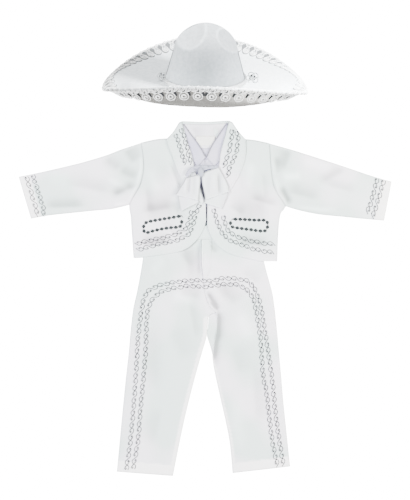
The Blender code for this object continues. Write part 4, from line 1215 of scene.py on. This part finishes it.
def ringMesh(name, sections):
    # loft round the crown's axis through closed sections of (radius, height) in mm, at even turns
    work = bmesh.new()
    rings = []
    for turn, section in zip(np.linspace(0, 2 * math.pi, len(sections), endpoint=False), sections):
        places = intoSuit([(r * math.cos(turn), r * math.sin(turn), h) for r, h in section])
        rings.append([work.verts.new(place) for place in places])
    for ringA, ringB in zip(rings, rings[1:] + rings[:1]):
        for corners in zip(ringA, ringA[1:] + ringA[:1], ringB[1:] + ringB[:1], ringB):
            work.faces.new(corners)
    bmesh.ops.remove_doubles(work, verts=work.verts[:], dist=1e-5)
    bmesh.ops.recalc_face_normals(work, faces=work.faces[:])
    mesh = meshFrom(work, name)
    mesh.shade_smooth()
    return mesh


def makeBrim():
    # both faces of the felt and its rounded edge, from the head's hole out and back
    sections = []
    half, bulge = hat["felt"] / 2, 0.7
    for turn in np.linspace(0, 2 * math.pi, hat["around"], endpoint=False):
        along, felt = feltLine(turn, rimRadius(turn) - hat["headRadius"])
        # close stations near the rim, wider ones towards the crown
        near, far = np.arange(2.5, 70, 2.5), np.arange(72, along[-1] - 4, 7)
        mid = readAt(np.concatenate([[0.3], near, far, [along[-1]]]), along, felt)
        upper = [(r + nr * half, h + nh * half) for r, h, nr, nh in mid]
        lower = [(r - nr * half, h - nh * half) for r, h, nr, nh in mid]
        r, h, nr, nh = felt[0]
        sections.append(upper[::-1] + [(r + bulge * nh, h - bulge * nr)] + lower)
    shortest = min(len(section) for section in sections)
    sections = [[section[round(i)] for i in np.linspace(0, len(section) - 1, shortest)]
                for section in sections]
    mesh = ringMesh("hatBrim", sections)
    crownUp = np.array(hatMatrix())[:3, 2]
    # the downward faces take the felt painted darker as shade
    for face in mesh.polygons:
        face.material_index = 1 if np.dot(face.normal, crownUp) < -0.02 else 0
    return addPiece("hatBrim", mesh, [hatFelt, brimUnder], ["hat_brim"])


makeBrim()


def pressDents(place, normal):
    # a point of the turned crown after the dents have been pressed in, and how much it lies on their lips,
    # where a painted highlight goes
    x, y, z = place
    shape = crownShape
    sine, cosine = math.sin(shape["pressAngle"]), math.cos(shape["pressAngle"])
    lips = 0.0
    for side, across, up, halfWide, halfHigh, depth, lean, limit in shape["dents"]:
        facing = smooth((side * normal[1] * cosine + normal[2] * sine - limit) / shape["facing"])
        level = z * cosine - side * y * sine - up
        offset = x - across - lean * level
        away = math.hypot(offset / halfWide, level / halfHigh)
        lip = peak(away - shape["lipAt"], shape["lipWidth"])
        press = depth * smooth((shape["dentEdge"] - away) / shape["dentSlope"]) - shape["lip"] * lip
        press *= facing
        y -= side * press * cosine
        z -= press * sine
        lips += lip * facing
    return (x, y, z), lips


def dentedCrown():
    # rows from the foot up to the tip, dented at front and back
    profile = curveThrough(np.array(crownShape["profile"], float)[:, ::-1], 2.2)
    rows = readAt(np.linspace(0, 1, crownShape["rows"]), np.linspace(0, 1, len(profile)), profile)
    slopes = unit(np.gradient(rows, axis=0))
    turns = np.linspace(0, 2 * math.pi, crownShape["around"], endpoint=False)
    work = bmesh.new()
    mark = work.verts.layers.float.new("crease")

    def addRing(row, slope, angles):
        ring = []
        low = smooth((crownShape["shadeTop"] - row[1]) / crownShape["shadeOver"])
        for turn in angles:
            place = (row[0] * math.cos(turn), row[0] * math.sin(turn), row[1])
            normal = (slope[1] * math.cos(turn), slope[1] * math.sin(turn), -slope[0])
            (x, y, z), lips = pressDents(place, normal)
            vertex = work.verts.new(intoSuit([(x, y, z + crownShape["foot"])])[0])
            # painted shading: the dents' lips painted lighter as highlight, the lower front painted darker as
            # shade
            vertex[mark] = lips - low * max(math.sin(turn), 0) ** 4    # the lower front is darker
            ring.append(vertex)
        return ring

    rings = [addRing(row, slope, turns) for row, slope in zip(rows[:-1], slopes)]
    tip = addRing(rows[-1], slopes[-1], [0.0])[0]
    for ringA, ringB in zip(rings, rings[1:]):
        for corners in zip(ringA, ringA[1:] + ringA[:1], ringB[1:] + ringB[:1], ringB):
            work.faces.new(corners)
    for a, b in zip(rings[-1], rings[-1][1:] + rings[-1][:1]):
        work.faces.new((a, b, tip))
    return meshFrom(work, "crownSkin")


crownFelt = withWall("hatCrown", dentedCrown(), hat["felt"] * mm, math.radians(50))
addPiece("hatCrown", crownFelt, [hatFelt], ["hat_crown"])


def rimSkin():
    # both faces of the brim near its rim as one strip: underside, round the edge, upper side
    reach, half = lace["reach"], hat["felt"] / 2
    bend = half * math.pi / 2       # from the edge's middle to where a face starts
    across = np.concatenate([np.linspace(-reach, -bend, 18), np.linspace(-bend, bend, 7)[1:-1],
                             np.linspace(bend, reach, 18)])
    rows = []
    for turn in np.linspace(-lace["overrun"], 1 + lace["overrun"], lace["stations"]) * 2 * math.pi:
        along, felt = feltLine(turn, reach * 1.2)
        row = []
        for y in across:
            lean = min(max(y / bend, -1), 1) * math.pi / 2
            r, h, nr, nh = readAt(max(abs(y) - bend, 0), along, felt)[0]
            r += half * (nr * math.sin(lean) + nh * math.cos(lean))
            h += half * (nh * math.sin(lean) - nr * math.cos(lean))
            row.append((r * math.cos(turn), r * math.sin(turn), h))
        rows.append(intoSuit(row))
    return skinAlong(rows, "rimSkin", (across + reach) / (2 * reach))


def tonguePath(pitch, shape):
    # half outline of a tongue from the picot edge to its end, about its own middle
    lobe, neck = shape["lobe"], shape["neck"]
    eye = shape["length"] - lobe
    start = shape["band"] - 0.5
    return [(-0.45 * pitch, start), (-0.6 * neck - 0.18 * pitch, (start + shape["neckAt"]) / 2),
            (-neck, shape["neckAt"]), (-0.8 * lobe, eye - 0.62 * lobe), (-lobe, eye),
            (-0.72 * lobe, eye + 0.7 * lobe), (0, eye + lobe)]


def tongueStrands(pitch, shape):
    # cords of one tongue, drawn inwards from the rim: a keyhole, a coil in its eye and a bar in its throat
    mid, face, lobe = pitch / 2, shape["face"], shape["lobe"]
    eye = shape["length"] - lobe
    half = tonguePath(pitch, shape)
    outline = curveThrough(np.array(half + [(-x, y) for x, y in half[-2::-1]]), 1.7)
    strands = [[(mid + x, face * y, 0.3) for x, y in outline]]
    coil = np.linspace(0, 1, round(14 * shape["turns"]))
    turn = 2.2 + coil * shape["turns"] * 2 * math.pi
    radius = 0.6 * lobe - coil * 0.26 * lobe
    strands.append([(mid + r * math.cos(a), face * (eye + r * math.sin(a)), 0.6)
                    for r, a in zip(radius, turn)])
    throat = [(-0.2 * pitch, shape["band"]), (0, shape["neckAt"] - 1), (0.2 * pitch, shape["band"])]
    strands.append([(mid + x, face * y, 0.5) for x, y in curveThrough(np.array(throat), 1.7)])
    return strands


def bandStrands(pitch, shape):
    # picot edge: two cords that weave past each other beside the rim
    face, centre = shape["face"], shape["band"] / 2 + 0.4
    swing = shape["band"] / 2 - 0.6
    steps = 8 * shape["holes"]
    turns = np.arange(steps + 1) * (2 * math.pi * shape["holes"] / steps)
    return [[(pitch * i / steps, face * (centre + swing * math.sin(turn + phase)),
              0.5 * math.cos(turn + phase)) for i, turn in enumerate(turns)] for phase in (0.0, math.pi)]


def picotStrands(pitch, shape):
    # small arches of cord on the rim itself
    steps = 8 * shape["holes"]
    turns = np.arange(steps + 1) * (math.pi * shape["holes"] / steps)
    return [[(pitch * i / steps, 1.4 * math.cos(turn), 1.7 * abs(math.sin(turn)))
             for i, turn in enumerate(turns)]]


def netStrip(points, face):
    # flat ground from a list of cross rows of points
    flat = [(x, face * y, 0.0) for row in points for x, y in row]
    quads = gridFaces(len(points), len(points[0]))
    return motifMesh(flat, quads if face > 0 else [quad[::-1] for quad in quads])


def disc(x, y, radius, face):
    rows = [[(x + r * math.cos(a), y + r * math.sin(a)) for r in (0.3, radius)]
            for a in np.linspace(0, -2 * math.pi, 17)]
    return netStrip(rows, face)


def bandShadeDots(pitch, shape):
    # dark discs behind the picot edge, at uneven places: painted shade where its holes show dark
    places = ((0.12, 0.7), (0.36, 0.35), (0.55, 0.75), (0.83, 0.4))
    return [disc(pitch * x, shape["band"] * y, lace["dot"], shape["face"]) for x, y in places]


def notchGrounds(pitch, shape):
    # the shade either side of the notch between two tongues, and in a tongue's throat
    path = np.array(tonguePath(pitch, shape))[:5]

    def halfWidth(y):
        return -float(np.interp(y, path[:, 1], path[:, 0]))

    left, right, throat = [], [], []
    for y in np.linspace(shape["band"], shape["length"] - shape["lobe"], 8):
        reach = pitch / 2 - halfWidth(y) - 0.6
        spots = np.linspace(max(reach - shape["slit"], 0.0), max(reach, 0.1), 3)
        left.append([(x, y) for x in spots])
        right.append([(pitch - x, y) for x in spots[::-1]])
    for y in np.linspace(shape["band"], shape["neckAt"] + 1.5, 5):
        wide = max(halfWidth(y) - 1.2, 0.4)
        throat.append([(x, y) for x in np.linspace(pitch / 2 - wide, pitch / 2 + wide, 4)])
    return [netStrip(rows[::-1], shape["face"]) for rows in (left, right, throat)]


def eyeDisc(pitch, shape, radius, aside=0.0, ahead=0.0):
    # the netted ground of a tongue's eye, or the shade in it
    return disc(pitch / 2 + aside, shape["length"] - shape["lobe"] + ahead, radius, shape["face"])


def oneSide(mesh, side):
    # below the brim only the notch flank that faces the front's middle lies in shade
    work = bmesh.new()
    work.from_mesh(mesh)
    lit = [face for face in work.faces if side * face.calc_center_median().x < 0]
    bmesh.ops.delete(work, geom=lit, context="FACES")
    work.to_mesh(mesh)
    work.free()
    return mesh


def makeGalloon():
    # on each face of the brim: cords, the dark grounds that stand for shade, and above it a netted ground
    # painted grey as shade
    skin = rimSkin()
    for label, shape in (("hatLaceUnder", lace["under"]), ("hatLaceTop", lace["top"])):
        onTop = shape["face"] > 0
        shade = laceDusk if onTop else laceShade
        pitch = 2 * math.pi * hat["rimSide"] / shape["tongues"]
        sizes = dict(Pitch=pitch, Overrun=lace["overrun"] * shape["tongues"] * pitch, Reach=lace["reach"])

        def cords(lines, thickness):
            return layTrim("laceCords", cordTrim, motifCurves(lines), skin, laceCord,
                           dict(Count=shape["tongues"], Sides=5), Lift=lace["cordLift"], Thickness=thickness,
                           **sizes)

        def ground(motif, lift=lace["groundLift"], cloth=shade):
            return layTrim("laceGround", studTrim, motif, skin, cloth, dict(Count=shape["tongues"]),
                           Lift=lift, **sizes)

        band = bandStrands(pitch, shape) + (picotStrands(pitch, shape) if onTop else [])
        strands = [cords(tongueStrands(pitch, shape), lace["cord"]), cords(band, lace["bandCord"])]
        addPiece(label, joinMeshes(label, strands), [laceCord], [] if onTop else ["hat_galloon"])
        grounds = [] if onTop else [ground(dot, lace["dotLift"]) for dot in bandShadeDots(pitch, shape)]
        for motif, side in zip(notchGrounds(pitch, shape), (1, -1, 0)):
            shaded = ground(motif)
            grounds.append(shaded if onTop else oneSide(shaded, side))
        grounds.append(ground(eyeDisc(pitch, shape, *shape["cast"]), lace["castLift"]))
        if onTop:
            net = ground(eyeDisc(pitch, shape, shape["lobe"]), lace["netLift"], laceNet)
            addPiece(label + "Net", net, [laceNet])
        addPiece(label + "Shade", joinMeshes(label + "Shade", grounds), [shade])
    bpy.data.objects.remove(skin)


makeGalloon()


braid = dict(height=9.0, thickness=2.0, waves=60, overrun=0.02, stations=260, lift=1.2, foot=1.4, off=0.2)
knots = {
    "Right": dict(place=88.0, height=12.0, ahead=10.0, loops=5, size=9.0, cord=1.9, shade=6.0),
    "Left": dict(place=-96.0, height=11.0, ahead=8.0, loops=5, size=12.5, cord=2.3, shade=7.0),
}
# dark cords that stand for shade along the crown's sides
sideShadeCord = dict(turn=0.14, low=8.0, high=66.0, thickness=1.2)


def crownWallRadius(height):
    heights, radii = zip(*crownShape["profile"])
    return float(np.interp(height, heights, radii))


def makeBraid():
    # waving cords round the crown's foot, between two straight ones
    rows = []
    for turn in np.linspace(-braid["overrun"], 1 + braid["overrun"], braid["stations"]) * 2 * math.pi:
        row = []
        for level in np.linspace(0, braid["height"], 4):
            radius = crownWallRadius(level) + braid["off"]
            row.append((radius * math.cos(turn), radius * math.sin(turn), braid["foot"] + level))
        rows.append(intoSuit(row))
    skin = skinAlong(rows, "braidSkin")
    pitch = 2 * math.pi * crownShape["profile"][0][1] / braid["waves"]
    half = braid["height"] / 2
    swing, edge = half - 1.3, half - 0.9
    lines = [[(pitch * t, swing * math.sin(2 * math.pi * t + phase), 0.6 * math.cos(4 * math.pi * t + phase))
              for t in np.linspace(0, 1, 13)] for phase in (0.0, math.pi)]
    lines += [[(pitch * t, across, 0.0) for t in np.linspace(0, 1, 4)] for across in (-edge, edge)]
    mesh = layTrim("hatBraid", cordTrim, motifCurves(lines), skin, laceCord,
                   dict(Count=braid["waves"], Sides=6), Pitch=pitch,
                   Overrun=braid["overrun"] * braid["waves"] * pitch, Reach=half, Lift=braid["lift"],
                   Thickness=braid["thickness"])
    bpy.data.objects.remove(skin)
    return addPiece("hatBraid", mesh, [laceCord], ["hat_braid"])


makeBraid()


def cordMesh(name, lines, thickness, closed):
    # round cords along lines in hat space
    item = motifCurves([intoSuit(line) for line in lines], 1)
    item.data.bevel_depth = thickness / 2 * mm
    item.data.bevel_resolution = 2
    item.data.use_fill_caps = True
    for strand in item.data.splines:
        strand.use_cyclic_u = closed
    return plainMesh(item, name)


def makeKnot(side, knot):
    # loops of cord tied in a flower beside the crown, over a dark disc that stands for the shade behind them
    path = []
    for turn in np.linspace(0, 2 * math.pi, 40 * knot["loops"], endpoint=False):
        swing = knot["loops"] * turn
        radius = knot["size"] * (0.56 + 0.44 * math.cos(swing))
        lean = turn + 0.5 * math.sin(swing)
        rise = knot["ahead"] + 0.3 * knot["size"] * math.sin(swing + 0.8) ** 2
        path.append((knot["place"] + radius * math.cos(lean), rise, knot["height"] + radius * math.sin(lean)))
    mesh = cordMesh("hatKnot" + side, [path], knot["cord"], True)
    mesh.shade_smooth()
    addPiece("hatKnot" + side, mesh, [laceCord], ["hat_knot_" + side.lower()])
    rim = [(knot["place"] + knot["shade"] * math.cos(a), knot["ahead"] - 1.6,
            knot["height"] + knot["shade"] * math.sin(a))
           for a in np.linspace(0, 2 * math.pi, 24, endpoint=False)]
    ground = bpy.data.meshes.new("hatKnotShade" + side)
    ground.from_pydata(intoSuit(rim).tolist(), [], [tuple(range(len(rim)))])
    addPiece("hatKnotShade" + side, ground, [laceShade])


for side, knot in knots.items():
    makeKnot(side, knot)


def makeSideShadeCords():
    # a dark cord up either side of the crown, from the knot: painted shade for the dark line where the
    # crown's side meets the brim
    runs = []
    for mirror in (1, -1):
        path = []
        for height in np.linspace(sideShadeCord["low"], sideShadeCord["high"], 16):
            reach = crownWallRadius(height) + 0.5 * sideShadeCord["thickness"]
            path.append((mirror * reach * math.cos(sideShadeCord["turn"]), reach * math.sin(sideShadeCord["turn"]),
                         height + crownShape["foot"]))
        runs.append(path)
    mesh = cordMesh("hatSideCords", runs, sideShadeCord["thickness"], False)
    addPiece("hatSideCords", mesh, [greyThread])


makeSideShadeCords()
print("sombrero made")


# camera and light

def makeCamera():
    data = bpy.data.cameras.new("camera")
    data.lens = studio["lens"]
    data.sensor_width = studio["sensor"]
    data.clip_end = 50.0
    camera = newObject("camera", data)
    camera.location = (*studio["aim"], studio["cameraHeight"])
    bpy.context.scene.camera = camera


def makeSet(label):
    # the pieces whose names begin as listed, as a collection that the lights can name
    group = bpy.data.collections.new(label + "Set")
    for piece in pieces:
        if piece.name.startswith(studio["sets"][label]):
            group.objects.link(piece)
    return group


def makeLight(name, place, size, power, tint, litSet, shadingSet):
    # a soft disc that lights one set alone, so that the hat throws no shade on the clothes
    data = bpy.data.lights.new(name, "AREA")
    data.shape = "DISK"
    data.size = size
    data.energy = power
    data.color = tint
    light = newObject(name, data)
    light.location = place
    light.rotation_euler = (-Vector(place)).to_track_quat("-Z", "Y").to_euler()
    light.visible_camera = False
    light.light_linking.receiver_collection = litSets[litSet]
    light.light_linking.blocker_collection = litSets[shadingSet]


def makeSky():
    # an even white room: a soft light on everything, and a bright backdrop where it is seen
    world = bpy.data.worlds.new("studioSky")
    world.use_nodes = True
    tree = world.node_tree
    seen = addNode(tree, "ShaderNodeLightPath").outputs["Is Camera Ray"]
    strength = addNode(tree, "ShaderNodeMapRange", {"Value": seen, "To Min": studio["skyStrength"],
                                                    "To Max": studio["backdropGlow"]})
    tree.links.new(strength.outputs["Result"], tree.nodes["Background"].inputs["Strength"])
    tree.nodes["Background"].inputs["Color"].default_value = (1, 1, 1, 1)
    bpy.context.scene.world = world


litSets = {label: makeSet(label) for label in studio["sets"]}
makeCamera()
for label, values in studio["lights"].items():
    makeLight(label, *values)
makeSky()
print("studio set")
